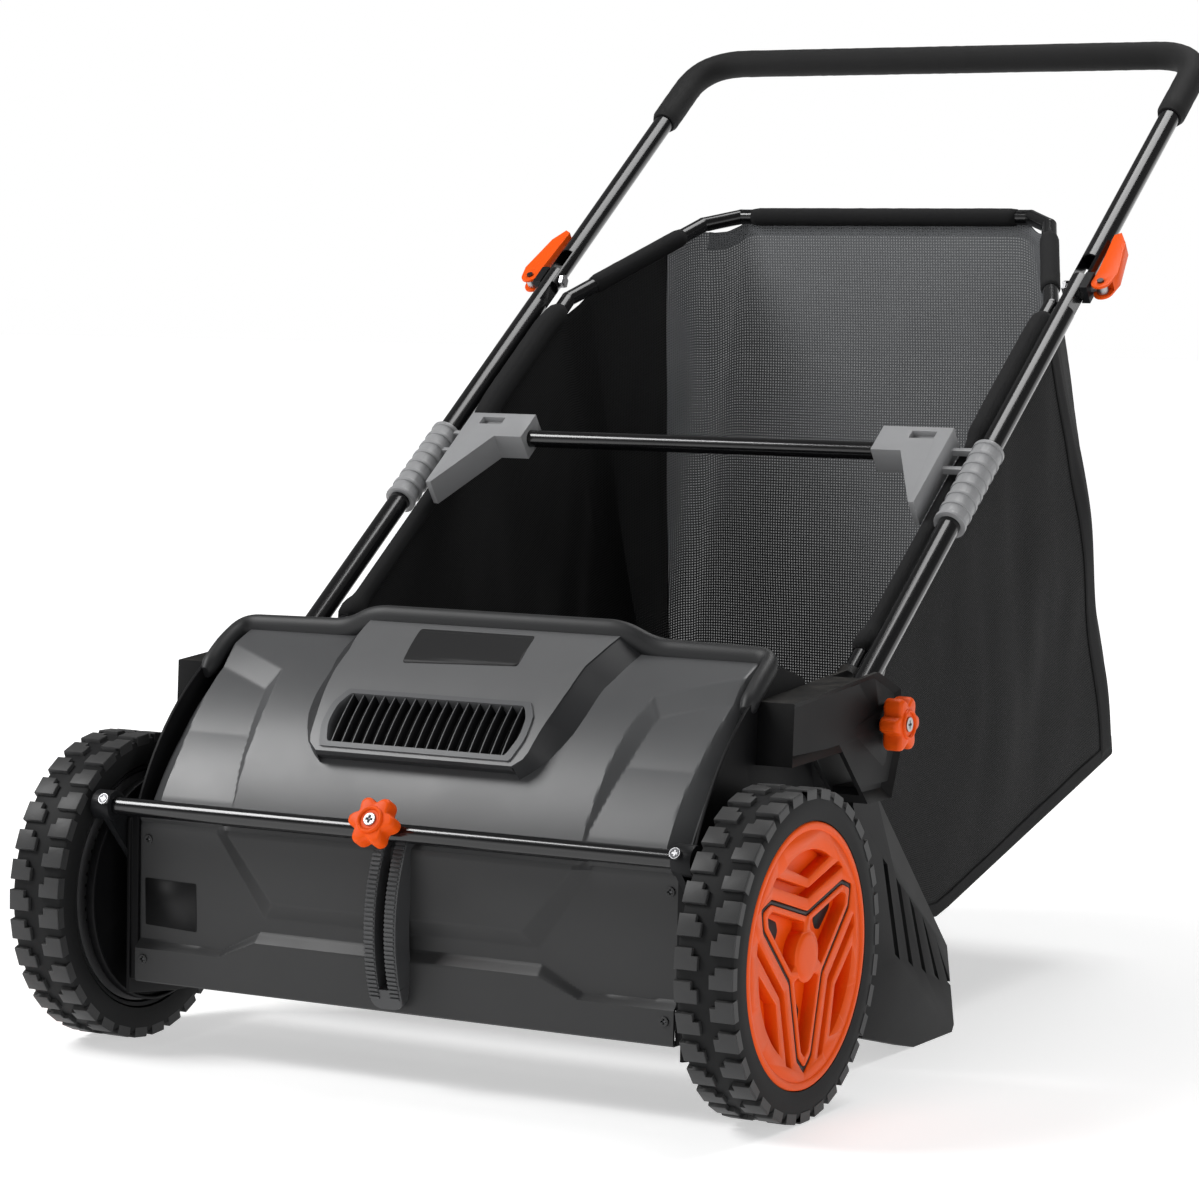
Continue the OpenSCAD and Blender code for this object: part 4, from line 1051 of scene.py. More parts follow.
def make_wheel_disc():
    """The right wheel's face: inlay star, V-grooves, pockets and the barrel behind them; dark patches at the
    arm tips and the near-black barrel and ribs are painted shade.
    """
    face, deep = WHEEL_OUT - 2.0, WHEEL_OUT - 13.0
    outline = star_outline()
    outer_edge = rounded(outline, 2.5, 3)
    inner_edge = rounded(inset(outline, 4.2), 2.5, 3)
    recess = []
    for angle in ARMS:
        hub_side = arc_points(20.5, [math.radians(d) for d in steps(44.0, -44.0, 8)])
        far = [(17.6, -21.2), (73.5, -6.6), (79.0, 0.0), (73.5, 6.6), (17.6, 21.2)]
        recess.append(rounded(turned(hub_side + far, angle), 1.6, 2))
    gaps = [between_arms(angle + math.radians(60.0)) for angle in ARMS]
    holes = [loop for pair in gaps for loop in pair]
    rim_plate = plate("disc_face", [round_loop(101.5), outer_edge] + holes, deep, face, ORANGE, wheel_point)
    island = plate("disc_island", [inner_edge] + recess, deep, face, ORANGE, wheel_point)
    rim_plate = soften(rim_plate, 0.6, 2, 40.0)
    island = soften(island, 0.6, 2, 40.0)
    floor_rows = [(deep - 2.0, 0.0), (deep + 0.3, 0.0), (deep + 0.3, 102.0), (deep - 2.0, 102.0)]
    floor = revolve("disc_floor", floor_rows, HUB, ACROSS, ORANGE, 96)
    lip_rows = [(deep, 97.0), (face - 0.2, 97.0), (face + 1.0, 98.5), (face + 1.2, 101.5),
                (face + 0.6, 103.6), (face - 2.0, 104.0), (deep - 10.0, 104.0), (deep - 10.0, 97.0)]
    lip = revolve("disc_lip", lip_rows, HUB, ACROSS, ORANGE, 128)
    disc = joined("wheel_face_right", [rim_plate, island, floor, lip])
    sharpen(disc, 40.0)
    inlay_loops = [inset(outer_edge, 0.2), inset(inner_edge, -0.2)]
    inlay = plate("wheel_inlay_right", inlay_loops, deep, face - 1.1, INLAY, wheel_point)
    # Dark patches on the recess floor at the arm tips: painted shade standing in for holes.
    window_shades = []
    for angle in ARMS:
        shape = [(44.0, -9.0), (66.0, -5.0), (71.0, 0.0), (66.0, 5.0), (44.0, 9.0), (38.0, 4.0), (38.0, -4.0)]
        loop = rounded(turned(shape, angle), 2.0, 3)
        window_shades.append(plate("window", [loop], deep + 0.2, deep + 0.6, WHEEL_SHADE, wheel_point))
    window_shades = joined("wheel_windows_right", window_shades)
    # The barrel and ribs behind the face are orange plastic painted near black as shade.
    back_rows = [(WHEEL_IN + 3.0, 22.0), (WHEEL_IN + 12.0, 24.0), (deep - 4.0, 30.0), (deep - 4.0, 97.0),
                 (WHEEL_IN + 3.0, 100.0), (WHEEL_IN + 2.0, 103.0), (deep - 1.0, 103.5), (deep - 1.0, 18.0),
                 (WHEEL_IN + 3.0, 18.0)]
    back = revolve("wheel_barrel_right", back_rows, HUB, ACROSS, WHEEL_SHADE, 96)
    sharpen(back, 35.0)
    rib = loft("rib", [[Vector((x, y, z)) for y, z in ((-1.2, 26.0), (1.2, 26.0), (1.2, 98.0), (-1.2, 98.0))]
                       for x in (WHEEL_IN + 8.0, deep - 3.0)], WHEEL_SHADE)
    ribs = ring_of("wheel_ribs_right", rib, 12, HUB, WHEEL_SHADE)
    on_both_wheels((disc, "orange_plastic", "wheel_disc"), (inlay, "tyre_plastic", ""),
                   (window_shades, "orange_plastic", ""), (back, "orange_plastic", ""),
                   (ribs, "orange_plastic", ""))


def make_tyre():
    """The right tyre: a plain wall, a base band and two staggered rows of lugs; the wall and base band are a
    darker copy of the lugs' rubber as painted shade.
    """
    base = WHEEL_R - 3.8
    profile = [(WHEEL_IN + 1.0, 104.5), (WHEEL_IN, 110.0), (WHEEL_IN + 0.3, base - 3.5),
               (WHEEL_IN + 1.5, base - 1.0), (WHEEL_IN + 4.0, base), (WHEEL_OUT - 4.0, base),
               (WHEEL_OUT - 1.8, base - 1.0), (WHEEL_OUT - 0.6, base - 3.5), (WHEEL_OUT - 0.4, 112.0),
               (WHEEL_OUT - 1.2, 104.5)]
    # The wall, with the band between the lugs, takes the darker rubber as painted shade.
    wall = revolve("tyre_wall_right", profile, HUB, ACROSS, TYRE_SHADED_WALL, 128)
    sharpen(wall, 35.0)
    low, high = base - 1.0, WHEEL_R - 0.1

    def lug(name, near, far):
        """One lug about the origin, from x near to x far, with a step cut from one corner."""
        half = 8.4
        inward = -1.0 if far < near else 1.0
        outline = [(near, -half), (far, -half), (far, half * 0.3), (far - 5.0 * inward, half * 0.3),
                   (far - 5.0 * inward, half), (near, half)]
        middle_x = (near + far) / 2
        rings = []
        for r, shrink in ((low - 3.0, 1.0), (high - 0.7, 1.0), (high - 0.2, 0.97), (high, 0.91)):
            rings.append([Vector((middle_x + (x - middle_x) * shrink, y * shrink, math.sqrt(r * r - y * y)))
                          for x, y in outline])
        return loft(name, rings, TYRE)

    def edge_bar(name, x0, x1):
        """A thin bar at the tread's shoulder, about the origin."""
        section = ((x0, base - 5.0), (x1, base - 5.0), (x1, base + 1.8), (x0, base + 2.2))
        rings = [[Vector((x, y, z)) for x, z in section] for y in (-8.4, -7.8, 7.8, 8.4)]
        return loft(name, rings, TYRE)

    half_step = math.pi / LUGS
    rows = [
        ring_of("lugs_outer", lug("lug", WHEEL_OUT - 0.4, WHEEL_OUT - 20.0), LUGS, HUB, TYRE),
        ring_of("lugs_inner", lug("lug", WHEEL_IN + 0.4, WHEEL_IN + 20.0), LUGS, HUB, TYRE, half_step),
        ring_of("bars_outer", edge_bar("bar", WHEEL_OUT - 5.0, WHEEL_OUT - 0.2), LUGS, HUB, TYRE),
        ring_of("bars_inner", edge_bar("bar", WHEEL_IN + 0.2, WHEEL_IN + 5.0), LUGS, HUB, TYRE, half_step),
    ]
    lugs = joined("tyre_lugs_right", rows)
    bm = bmesh.new()
    bm.from_mesh(lugs.data)
    bmesh.ops.recalc_face_normals(bm, faces=bm.faces)
    bm.to_mesh(lugs.data)
    bm.free()
    sharpen(lugs, 30.0)
    on_both_wheels((wall, "tyre_plastic", "tyre"), (lugs, "tyre_plastic", ""))


def make_hub_cap():
    """The rounded cap over the right axle's end."""
    face = WHEEL_OUT - 2.0
    profile = [(face - 9.0, 0.0), (face - 9.0, 18.6), (face - 0.5, 18.8), (face + 0.8, 17.6),
               (face + 1.5, 15.0), (face + 1.8, 9.0), (face + 1.9, 0.0)]
    cap = revolve("wheel_cap_right", profile, HUB, ACROSS, ORANGE, 72)
    sharpen(cap, 40.0)
    on_both_wheels((cap, "orange_plastic", "hub_cap"))


# ---------------------------------------------------------------- Brush

def make_bristles():
    """Six rows of bristles in tufts on the brush's core."""
    reach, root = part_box("bristle_strips")[1].z / MM - BRUSH.z, 36.0
    chance = random.Random(3)
    hairs = []
    for k in range(7):
        x, y = chance.uniform(-2.2, 2.2), chance.uniform(-3.0, 3.0)
        dx, dy = chance.uniform(-2.5, 2.5), chance.uniform(-5.0, 5.0)
        end = reach - chance.uniform(0.0, 3.0)
        bend = (x + dx * 0.3, y + dy * 0.3, (root + end) / 2)
        hairs.append(sweep("hair", [(x, y, root), bend, (x + dx, y + dy, end)], 0.55, BRISTLE, 3))
    tuft = joined("tuft", hairs)
    tree, ids = repeat_tree("bristle row", BRISTLE)
    start = (-242.5, BRUSH.y, BRUSH.z)
    rows = []
    for k in range(6):
        rows.append(repeated(f"bristle_row_{k}", tree, ids, tuft, 98, start, (5.0, 0.0, 0.0),
                             phase=k * math.pi / 3, sway=0.02))
    bpy.data.objects.remove(tuft)
    bristles = joined("brush_bristles", rows)
    return place(bristles, "brush", "bristle", "bristle_strips")


# ---------------------------------------------------------------- Handle foam

def make_foam():
    """The soft grip round the handle's bend, with its cut ends."""
    low = on_handle(112.0, 0.0, 278.0)
    path = [low, on_handle(0.0, 0.0, 278.0), on_handle(0.0, 0.0, -278.0), on_handle(112.0, 0.0, -278.0)]
    path = along(bend_path(path, 56.0, 10), 6.0)
    chance = random.Random(5)
    wobble = [chance.uniform(-0.12, 0.12) for _ in range(len(path))]

    def thickness(share):
        ends = min(share, 1.0 - share) * (len(path) - 1) * 6.0
        return 14.0 - 2.2 * clamp(1.0 - ends / 4.0) ** 2 + wobble[round(share * (len(path) - 1))]

    foam = sweep("foam_sleeve", path, thickness, FOAM, 28)
    sharpen(foam, 50.0)
    place(foam, "upper_handle", "foam", "foam_grip")


# ---------------------------------------------------------------- Bag

MOUTH, ELBOW = on_handle(911.5, -BAG_TUBE_DROP, BAG_TUBE_X), on_handle(411.0, -BAG_TUBE_DROP, BAG_TUBE_X)
SHOULDER, TOP = Vector((188.0, 377.0, 712.0)), Vector((158.0, 403.0, 721.0))
BACK, FLOOR = Vector((250.0, 434.0, 208.0)), Vector((255.0, -9.0, 96.0))
FRONT = Vector((255.0, -228.0, 112.0))


def flipped(p):
    """The point on the other side of the middle plane."""
    return Vector((-p.x, p.y, p.z))


def bag_paths():
    """The bag's top edge and its bottom edge, as matching points from the right mouth round to the left."""
    top, low = [], []
    side_end = BACK + Vector((4.0, -30.0, -8.0))
    for k in range(41):
        t = k / 40
        top.append(MOUTH.lerp(ELBOW, t))
        low.append(FRONT.lerp(FLOOR, t / 0.36) if t < 0.36 else FLOOR.lerp(side_end, (t - 0.36) / 0.64))
    for k in range(1, 13):
        t = k / 12
        top.append(ELBOW.lerp(SHOULDER, t / 0.8) if t < 0.8 else SHOULDER.lerp(TOP, (t - 0.8) / 0.2))
        a = t * math.pi / 2
        low.append(Vector((224.0 + 30.0 * math.cos(a), 404.0 + 30.0 * math.sin(a), 200.0 + 8.0 * t)))
    for k in range(1, 21):
        t = k / 20
        top.append(TOP.lerp(Vector((0.0, TOP.y, TOP.z)), t))
        low.append(Vector((224.0, 434.0, 208.0)).lerp(Vector((0.0, 434.0, 204.0)), t))
    top += [flipped(p) for p in top[-2::-1]]
    low += [flipped(p) for p in low[-2::-1]]
    return top, low


def bag_wall_point(top, low, s, t):
    """A point of the bag's wall: s counts round the rim, t goes down; the cloth bellies and creases."""
    i = max(0, min(int(s), len(top) - 2))
    f = s - i
    corner = min(abs(s - 40.0), abs(s - (len(top) - 41.0)))
    turn = min(abs(s - 51.0), abs(s - (len(top) - 52.0)))
    slack = 14.0 * math.exp(-(corner / 1.6) ** 2) + 12.0 * math.exp(-(turn / 1.7) ** 2)
    a, b = top[i].lerp(top[i + 1], f), low[i].lerp(low[i + 1], f)
    a.z -= slack
    p = a.lerp(b, t)
    out = Vector((p.x / 255.0, max(0.0, (p.y - 150.0) / 260.0) ** 3, 0.0))
    if abs(out.x) < 0.98 and p.y < 300.0:
        out.x = math.copysign(1.0, p.x)
    out = out.normalized() if out.length > 0.01 else Vector((0.0, 1.0, 0.0))
    free = math.sin(math.pi * clamp(t)) ** 0.8
    guard = clamp((p.y + 60.0) / 160.0)
    belly = 7.0 * free * guard
    crease = noise.noise(Vector((p.x * 0.012, p.y * 0.012, p.z * 0.005))) * 7.0 * free * guard
    fine = noise.noise(Vector((p.x * 0.03 + 9.0, p.y * 0.03, p.z * 0.012))) * 2.2 * free * guard
    return p + out * (belly + crease + fine)


def cloth_uv(obj, rows_u, rows_v):
    """Writes the cloth's own measure, in metres, for the weave."""
    layer = obj.data.uv_layers.new(name="cloth")
    for loop in obj.data.loops:
        layer.data[loop.index].uv = (rows_u[loop.vertex_index], rows_v[loop.vertex_index])


def cloth_strip(name, rows, material, outward, thickness=0.7):
    """A piece of cloth through rows of points, measured along its rows for the weave, with a thin wall."""
    us, vs, down = [], [], 0.0
    for k, row in enumerate(rows):
        if k:
            before = rows[k - 1]
            down += (row[len(row) // 2] - before[len(before) // 2]).length * MM
        lengths = [0.0]
        for p, q in zip(row, row[1:]):
            lengths.append(lengths[-1] + (q - p).length * MM)
        half = lengths[-1] / 2 if abs(outward[0]) < 0.5 else 0.0
        us += [v - half for v in lengths]
        vs += [down] * len(row)
    obj = grid(name, rows, material, outward)
    cloth_uv(obj, us, vs)
    return thicken(obj, thickness)


def area_of(rows):
    """The area of a surface through rows of points, in square metres."""
    total = 0.0
    for a, b in zip(rows, rows[1:]):
        for i in range(len(a) - 1):
            total += ((a[i + 1] - a[i]).cross(b[i] - a[i])).length / 2
            total += ((b[i + 1] - b[i]).cross(b[i + 1] - a[i + 1])).length / 2
    return total * MM * MM


def declare_cloth(rows):
    """Works out a cloth piece's cut and its area from the points it was made of; the result is not kept."""
    width = max(sum((q - p).length for p, q in zip(r, r[1:])) for r in rows) * MM
    columns = list(zip(*rows))
    length = max(sum((q - p).length for p, q in zip(c, c[1:])) for c in columns) * MM
    cut = width * length
    clamp(area_of(rows), 0.31 * cut, cut)


def make_bag():
    """The sagging bag: netting sides and back, a cloth floor, taped edges and sleeves round the frame."""
    top, low = bag_paths()
    count = len(top)
    corner = 40.0
    spans = (("bag_side_right", 0.0, corner + 7.0, SIDE_MESH, (1.0, 0.0, 0.0)),
             ("bag_back", corner + 7.0, count - 1 - corner - 7.0, REAR_MESH, (0.0, 1.0, 0.0)),
             ("bag_side_left", count - 1 - corner - 7.0, count - 1.0, SIDE_MESH, (-1.0, 0.0, 0.0)))
    for name, s0, s1, material, outward in spans:
        rows = [[bag_wall_point(top, low, s, t) for s in steps(s0, s1, 60)] for t in steps(0.0, 1.0, 44)]
        wall = cloth_strip(name, rows, material, outward)
        place(wall, "bag", "bag_fabric", *(("bag",) if name == "bag_back" else ()))
        declare_cloth(rows)
    rows = []
    for k in range(0, 53, 2):
        edge = bag_wall_point(top, low, float(k), 1.0)
        row = []
        for u in steps(-1.0, 1.0, 28):
            sag = 10.0 * (1.0 - u * u) * clamp((edge.y + 230.0) / 200.0) * clamp((440.0 - edge.y) / 60.0)
            wave = noise.noise(Vector((u * 4.0, edge.y * 0.012, 3.0))) * 5.0 * (1.0 - u ** 4)
            row.append(Vector((edge.x * u, edge.y, edge.z - sag + wave)))
        rows.append(row)
    back_edge = [bag_wall_point(top, low, s, 1.0) for s in steps(52.0, count - 53.0, 28)]
    rows.append(back_edge[::-1])
    floor = cloth_strip("bag_floor", rows, FLOOR_CLOTH, (0.0, 0.0, -1.0))
    place(floor, "bag", "bag_fabric")
    declare_cloth(rows)

    def tape(name, s0, s1, t0, t1, along_s):
        """A flat black tape laid just outside the wall."""
        across, long = (8, 90) if along_s else (90, 8)
        rows = []
        for t in steps(t0, t1, across):
            row = []
            for s in steps(s0, s1, long):
                p = bag_wall_point(top, low, s, clamp(t))
                out = Vector((p.x / 255.0, max(0.0, (p.y - 150.0) / 260.0) ** 3, 0.0)).normalized()
                row.append(p + out * 1.2)
            rows.append(row)
        middle_s = (s0 + s1) / 2
        facing = (0.0, 1.0, 0.0)
        if middle_s < 40:
            facing = (1.0, 0.0, 0.0)
        elif middle_s > count - 41:
            facing = (-1.0, 0.0, 0.0)
        strip = cloth_strip(name, rows, SLEEVE_CLOTH, facing, 0.9)
        place(strip, "bag", "bag_fabric")
        declare_cloth(rows)

    tape("tape_bottom", 0.0, count - 1.0, 0.965, 1.0, True)
    tape("tape_top_back", 50.0, count - 51.0, 0.0, 0.035, True)
    tape("tape_edge_right", corner - 1.6, corner + 1.6, 0.02, 0.985, False)
    tape("tape_edge_left", count - 1 - corner - 1.6, count - 1 - corner + 1.6, 0.02, 0.985, False)
    tape("tape_mouth_right", 0.0, 1.6, 0.0, 1.0, False)
    tape("tape_mouth_left", count - 2.6, count - 1.0, 0.0, 1.0, False)
    make_sleeves()


def sleeve(name, path, radius, tight=()):
    """A cloth sleeve sewn round a frame tube, slack but drawn in along the tight shares of its way."""
    path = along(path, 7.0)
    chance = random.Random(len(path))
    slack = [chance.uniform(-0.15, 0.1) for _ in path]
    last = len(path) - 1

    def thickness(share):
        room = radius + slack[round(share * last)]
        for start, end in tight:
            near = max(start - share, share - end, 0.0) * last * 7.0
            room = min(room, 7.9 + near * 0.25)
        return min(room, 8.0 + min(share, 1.0 - share) * last * 7.0 * 0.4)

    obj = sweep(name, path, thickness, SLEEVE_CLOTH, 18, False)
    layer = obj.data.uv_layers.new(name="cloth")
    for loop in obj.data.loops:
        k = loop.vertex_index
        layer.data[loop.index].uv = ((k % 18) * 0.0033, (k // 18) * 0.007)
    obj = thicken(obj, 0.35)
    place(obj, "bag", "bag_fabric")


def make_sleeves():
    """The sleeves along the sides, the slanting corners and the back of the bag's frame."""
    high, low = 430.0, 905.0
    count = 68
    tight = (((low - 875.0) / (low - high), (low - 622.0) / (low - high)),)
    for side, word in ((1.0, "right"), (-1.0, "left")):
        path = []
        for k in range(count + 1):
            t = k / count
            free = clamp(max(tight[0][0] - t, t - tight[0][1]) * 12.0) * clamp(min(t, 1.0 - t) * 14.0)
            out = side * (BAG_TUBE_X + 1.4 * free)
            path.append(on_handle(low + (high - low) * t, -BAG_TUBE_DROP + 3.4 * free, out))
        sleeve(f"sleeve_{word}", path, 11.3, tight)
        elbow = Vector((side * ELBOW.x, ELBOW.y, ELBOW.z))
        shoulder = Vector((side * SHOULDER.x, SHOULDER.y, SHOULDER.z))
        sleeve(f"sleeve_slant_{word}", [elbow.lerp(shoulder, 0.18), elbow.lerp(shoulder, 0.84)], 9.4)
    sleeve("sleeve_back", [Vector((144.0, 403.0, 721.0)), Vector((-144.0, 403.0, 721.0))], 9.0)


# ---------------------------------------------------------------- Pieces kept close to the CAD

def edged(node, bm, body, slot, width, material):
    """A CAD node's own shape with rounded edges, in its place."""
    obj = soften(as_object(node + "_piece", bm, material), width)
    sharpen(obj, 40.0)
    return place(obj, body, slot, node)


def chamfered_bracket(node, body, chamfer):
    """A rear bracket with wide chamfers round its outer face and fine rounding elsewhere."""
    bm = cad_shape(node)
    bm.normal_update()
    hub = pivot("lower_fold")
    reach = max(abs(v.co.x) for v in bm.verts)
    outer = {f for f in bm.faces if abs(f.normal.x) > 0.99 and abs(f.calc_center_median().x) > reach - 0.2}
    edge = {v for f in outer for e in f.edges if sum(g in outer for g in e.link_faces) == 1 for v in e.verts}
    edge = [v for v in edge if math.hypot(v.co.y - hub.y, v.co.z - hub.z) > 14.0]
    bmesh.ops.inset_region(bm, faces=list(outer), thickness=chamfer, use_even_offset=True, use_boundary=True)
    for v in edge:
        v.co.x -= math.copysign(chamfer * 0.8, v.co.x)
    bmesh.ops.recalc_face_normals(bm, faces=bm.faces)
    # Its finish lightens the faces that look up as painted sheen.
    return edged(node, bm, body, "frame_plastic", 0.9, BRACKET_BLACK)


def around_brush(x, r, degrees):
    """A point at a radius round the brush's shaft, at a height angle above level-front."""
    a = math.radians(degrees)
    return Vector((x, BRUSH.y - r * math.cos(a), BRUSH.z + r * math.sin(a)))


def make_quadrant():
    """The height rack: two toothed rails round a dark slot, with a rounded closed end."""
    face, low, high = 151.4, -22.5, 31.0
    rail = ((4.6, 130.0), (4.6, face - 0.6), (5.2, face), (13.6, face), (14.6, face - 1.2), (14.9, 130.0))
    parts = []
    for side in (-1.0, 1.0):
        rings = [[around_brush(side * x, r, a) for x, r in rail] for a in steps(low + 3.6, high, 30)]
        parts.append(loft("rail", rings, RACK_GREY))
    rings = []
    for past, half in ((3.7, 14.9), (0.4, 14.8), (-1.0, 14.4), (-2.0, 13.0), (-2.7, 10.6), (-3.1, 7.5)):
        section = ((-half, 132.0), (-half, face - 1.0), (-half + 1.0, face), (half - 1.0, face),
                   (half, face - 1.0), (half, 132.0))
        rings.append([around_brush(x, r, low + past) for x, r in section])
    parts.append(loft("rail_end", rings, RACK_GREY))
    rack = joined("height_rack", parts)
    sharpen(rack, 35.0)
    place(rack, "root", "frame_plastic", "height_quadrant")
    # A near-black block in the slot between the rails: painted shade.
    rings = [[around_brush(x, r, a) for x, r in ((-5.0, 128.0), (-5.0, 138.0), (5.0, 138.0), (5.0, 128.0))]
             for a in steps(low, high, 24)]
    place(loft("height_rack_slot", rings, VENT_SHADE), "root", "frame_plastic")
    section = ((4.9, face - 0.5), (4.9, face + 0.9), (5.3, face + 1.3), (13.4, face + 1.3),
               (13.9, face + 0.9), (13.9, face - 0.5))
    rings = [[Vector((x, y, z)) for x, z in section] for y in (-1.0, -0.85, 0.85, 1.0)]
    tooth = loft("tooth", rings, RACK_GREY)
    twin = mirrored(tooth, "tooth_twin")
    pair = joined("tooth_pair", [tooth, twin])
    start = math.radians(90.0 - low - 1.0)
    teeth = ring_of("height_rack_teeth", pair, 38, BRUSH, RACK_GREY, start, math.radians(-1.38))
    sharpen(teeth, 35.0)
    place(teeth, "root", "frame_plastic")


def make_small_screws():
    """The bolt inside the height knob, and the pan heads at the bar's ends."""
    profile = [(150.0, 0.0), (150.0, 3.0), (187.5, 3.0), (188.5, 2.4), (188.8, 0.0)]
    bolt = revolve("height_bolt_piece", profile, BRUSH, OUT, ZINC, 24)
    sharpen(bolt, 40.0)
    place(bolt, "wheel_carrier", "zinc", "height_bolt")
    points = [v.co / MM for v in NODES["bar_screws"].data.vertices]
    heads = []
    for side in (-1.0, 1.0):
        mine = [p for p in points if p.x * side > 0]
        centre = sum(mine, Vector()) / len(mine)
        front = max((p - centre).dot(OUT) for p in mine)
        centre = centre + OUT * (front - 1.6)

        def put(u, v, w, centre=centre):
            return centre + ACROSS * u + UP * v + OUT * w

        heads.append(screw_head("bar_screw_head", 4.2, 1.8, put, DARK_STEEL))
    place(joined("bar_screw_heads", heads), "wheel_carrier", "zinc")


def make_panel_screws():
    """The panel's screws, with their heads down on its sunk field."""
    points = [v.co / MM for v in NODES["panel_screws"].data.vertices]
    level = sum(p.z for p in points) / len(points)
    heads = []
    for side in (-1.0, 1.0):
        for above in (False, True):
            mine = [p for p in points if p.x * side > 0 and (p.z > level) == above]
            if not mine:
                continue
            centre = sum(mine, Vector()) / len(mine)
            face = PANEL_Y + panel_sink(centre.x, centre.z)

            def put(u, v, w, centre=centre, face=face):
                return Vector((centre.x + u, face + 0.4 - w, centre.z + v))

            heads.append(screw_head("panel_screw_head", 4.0, 1.8, put, PANEL_GREY))
    place(joined("panel_screw_heads", heads), "root", "panel_plastic", "panel_screws")


def repaint(material, *nodes):
    """Gives CAD nodes a finish and keeps their own mesh."""
    for node in nodes:
        if not NODES[node].material_slots:
            NODES[node].data.materials.append(material)
        for s in NODES[node].material_slots:
            s.material = material


# ---------------------------------------------------------------- Light, floor and camera

def make_stage():
    """A pale floor, a white surround and soft studio lights."""
    scene = bpy.context.scene
    world = bpy.data.worlds.new("studio")
    scene.world = world
    world.use_nodes = True
    tree = world.node_tree
    where = tree.nodes.new("ShaderNodeTexCoord")
    split = tree.nodes.new("ShaderNodeSeparateXYZ")
    tree.links.new(where.outputs["Generated"], split.inputs[0])
    ramp = tree.nodes.new("ShaderNodeMapRange")
    set_values(ramp, From_Min=0.10, From_Max=0.22, To_Min=1.0, To_Max=0.15)
    tree.links.new(split.outputs["Z"], ramp.inputs["Value"])
    tree.links.new(ramp.outputs[0], tree.nodes["Background"].inputs["Strength"])
    tree.nodes["Background"].inputs["Color"].default_value = (1.0, 1.0, 1.0, 1.0)
    bpy.ops.mesh.primitive_plane_add(size=120.0, location=(0.0, 0.0, 0.0))
    ground = bpy.context.object
    ground.name = "studio_floor"
    pale = bpy.data.materials.new("studio floor")
    pale.use_nodes = True
    tree = pale.node_tree
    shader = tree.nodes["Principled BSDF"]
    set_values(shader, Base_Color=(0.75, 0.75, 0.75, 1.0), Roughness=0.6, Specular_IOR_Level=0.2)
    set_values(shader, Emission_Color=(1.0, 1.0, 1.0, 1.0))
    where = tree.nodes.new("ShaderNodeTexCoord")
    far = tree.nodes.new("ShaderNodeVectorMath")
    far.operation = "LENGTH"
    tree.links.new(where.outputs["Object"], far.inputs[0])
    glow = tree.nodes.new("ShaderNodeMapRange")
    set_values(glow, From_Min=0.6, From_Max=2.6, To_Min=0.52, To_Max=0.95)
    tree.links.new(far.outputs["Value"], glow.inputs["Value"])
    tree.links.new(glow.outputs[0], shader.inputs["Emission Strength"])
    ground.data.materials.append(pale)

    def lamp(name, place_at, aim, size, power):
        data = bpy.data.lights.new(name, "AREA")
        data.shape = "RECTANGLE"
        data.size, data.size_y = size
        data.energy = power
        obj = shown(name, data)
        obj.location = place_at
        obj.rotation_mode = "QUATERNION"
        obj.rotation_quaternion = (Vector(aim) - Vector(place_at)).to_track_quat("-Z", "Y")

    lamp("lamp_key", (-2.4, -1.9, 2.9), (0.0, -0.1, 0.25), (1.5, 1.5), 115.0)
    lamp("lamp_top", (0.3, 0.9, 3.0), (0.0, 0.0, 0.3), (1.6, 1.6), 45.0)
    lamp("lamp_right", (3.4, -1.2, 1.0), (0.2, 0.0, 0.4), (0.7, 1.4), 12.0)


def make_camera():
    """The camera: about knee high, some three metres off, in front and to the right."""
    turn, down, roll = 0.505506517, 0.0761690735, 0.0169755082
    right = Vector((math.cos(turn), math.sin(turn), 0.0))
    up = Vector((-math.sin(turn) * math.sin(down), math.cos(turn) * math.sin(down), math.cos(down)))
    ahead = Vector((-math.sin(turn) * math.cos(down), math.cos(turn) * math.cos(down), -math.sin(down)))
    x = right * math.cos(roll) + up * math.sin(roll)
    y = up * math.cos(roll) - right * math.sin(roll)
    data = bpy.data.cameras.new("camera")
    data.lens, data.sensor_width, data.sensor_fit = 111.558, 36.0, "AUTO"
    data.clip_start, data.clip_end = 0.05, 100.0
    camera = shown("camera", data)
    turned_by = Matrix((x, y, -ahead)).transposed().to_4x4()
    camera.matrix_world = Matrix.Translation((1.56050638, -2.98634766, 0.617949024)) @ turned_by
    bpy.context.scene.camera = camera


# ---------------------------------------------------------------- The whole sweeper

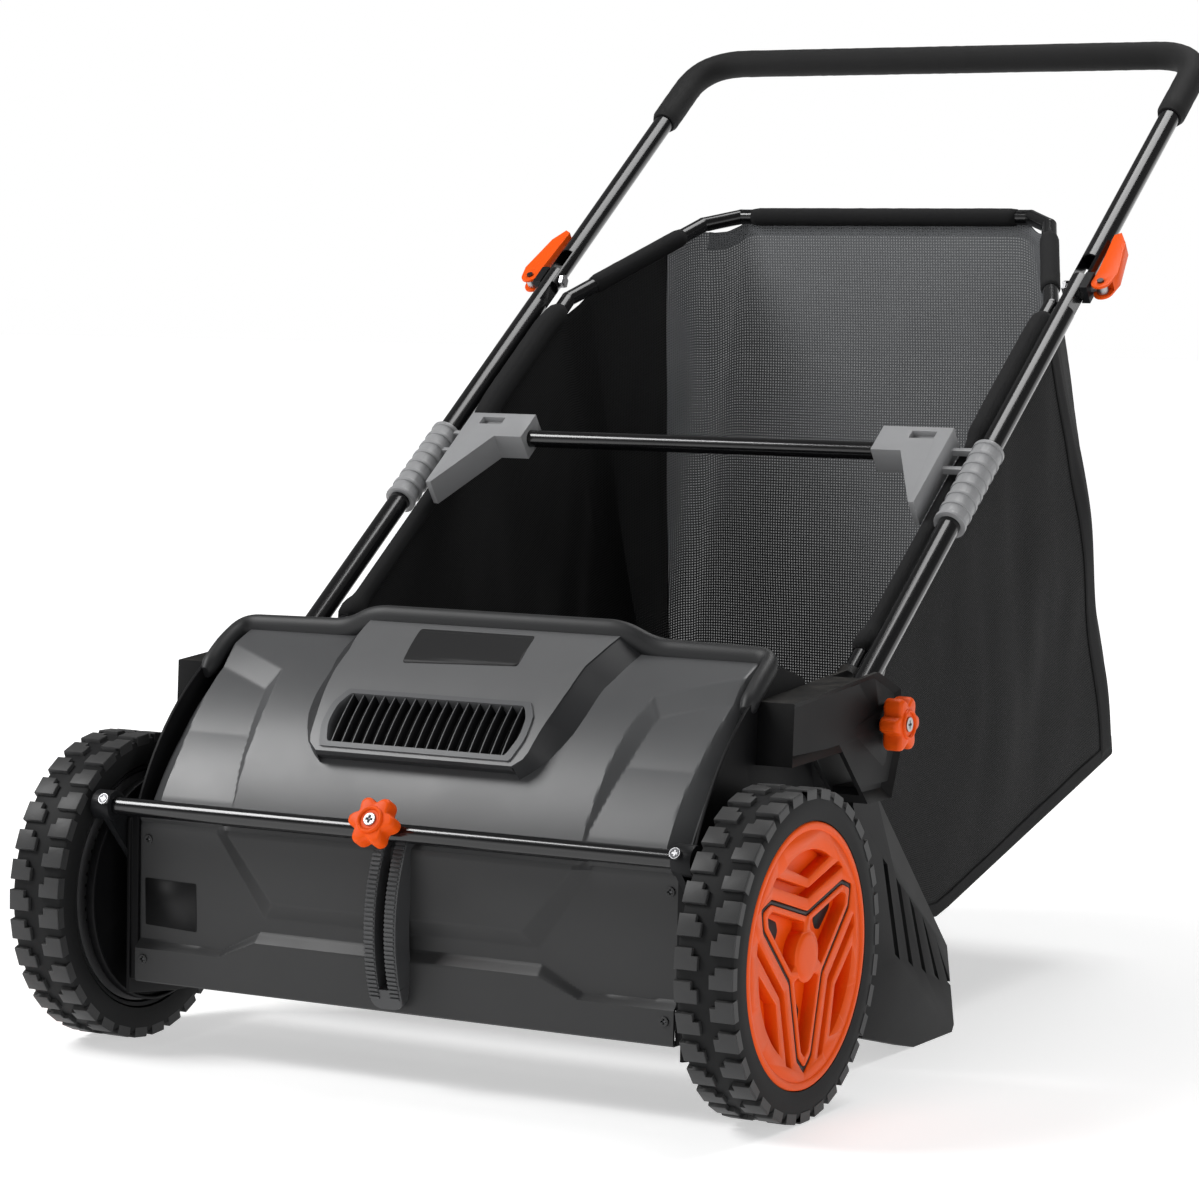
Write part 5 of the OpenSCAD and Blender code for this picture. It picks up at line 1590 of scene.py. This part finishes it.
make_hood()
make_rim()
make_bonnet()
make_vent()
make_badge()
make_panel()
make_tyre()
make_wheel_disc()
make_hub_cap()
make_bristles()
make_foam()
make_bag()

star_knob("height_knob", BRUSH + OUT * 174.0, OUT, UP, 21.5, 16.6, 15.5)
for side, word in ((1.0, "right"), (-1.0, "left")):
    hub = pivot("bracket_knob_" + word + "_turn")
    near = abs(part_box("bracket_knob_" + word)[0 if side > 0 else 1].x / MM)
    centre = (side * (near + 3.0), hub.y, hub.z)
    star_knob(f"bracket_knob_{word}", centre, (side, 0.0, 0.0), (0.0, 0.0, 1.0), 24.0, 17.8, 17.0)

BODY_OF = {}
for body_name, body in frame["bodies"].items():
    for child in body.children:
        BODY_OF[child.name] = body_name
for word in ("right", "left"):
    for node, width, material, slot in (
        (f"side_plate_{word}", 0.5, SIDE_BLACK, "frame_plastic"),
        (f"wheel_arm_{word}", 1.0, FRAME_BLACK, "frame_plastic"),
        (f"gear_cover_{word}", 1.0, SIDE_BLACK, "frame_plastic"),
        (f"corner_clip_{word}", 1.0, CLIP_GREY, "clip_plastic"),
        (f"cam_lever_{word}", 1.0, ORANGE, "orange_plastic"),
    ):
        edged(node, cad_shape(node), BODY_OF[node], slot, width, material)
    chamfered_bracket(f"rear_bracket_{word}", "root", 9.0)
make_quadrant()
make_small_screws()
make_panel_screws()

BY_SLOT = {"frame_plastic": FRAME_BLACK, "black_tube": TUBE_BLACK, "zinc": ZINC, "dark_pin": DARK_STEEL,
           "nylon": NYLON, "gear_plastic": GEAR_GREY, "orange_plastic": ORANGE, "clip_plastic": CLIP_GREY,
           "brush_plastic": BRUSH_DARK,
           "hood_plastic": HOOD_GREY, "panel_plastic": PANEL_GREY, "tyre_plastic": TYRE, "foam": FOAM,
           "bristle": BRISTLE, "vent_plastic": VENT_GREY, "bag_fabric": SLEEVE_CLOTH}
for row in frame["record"]["subparts"]:
    repaint(BY_SLOT[row["material_slot"]], row["node"])

make_stage()
make_camera()
bpy.context.scene.view_settings.view_transform = "Standard"
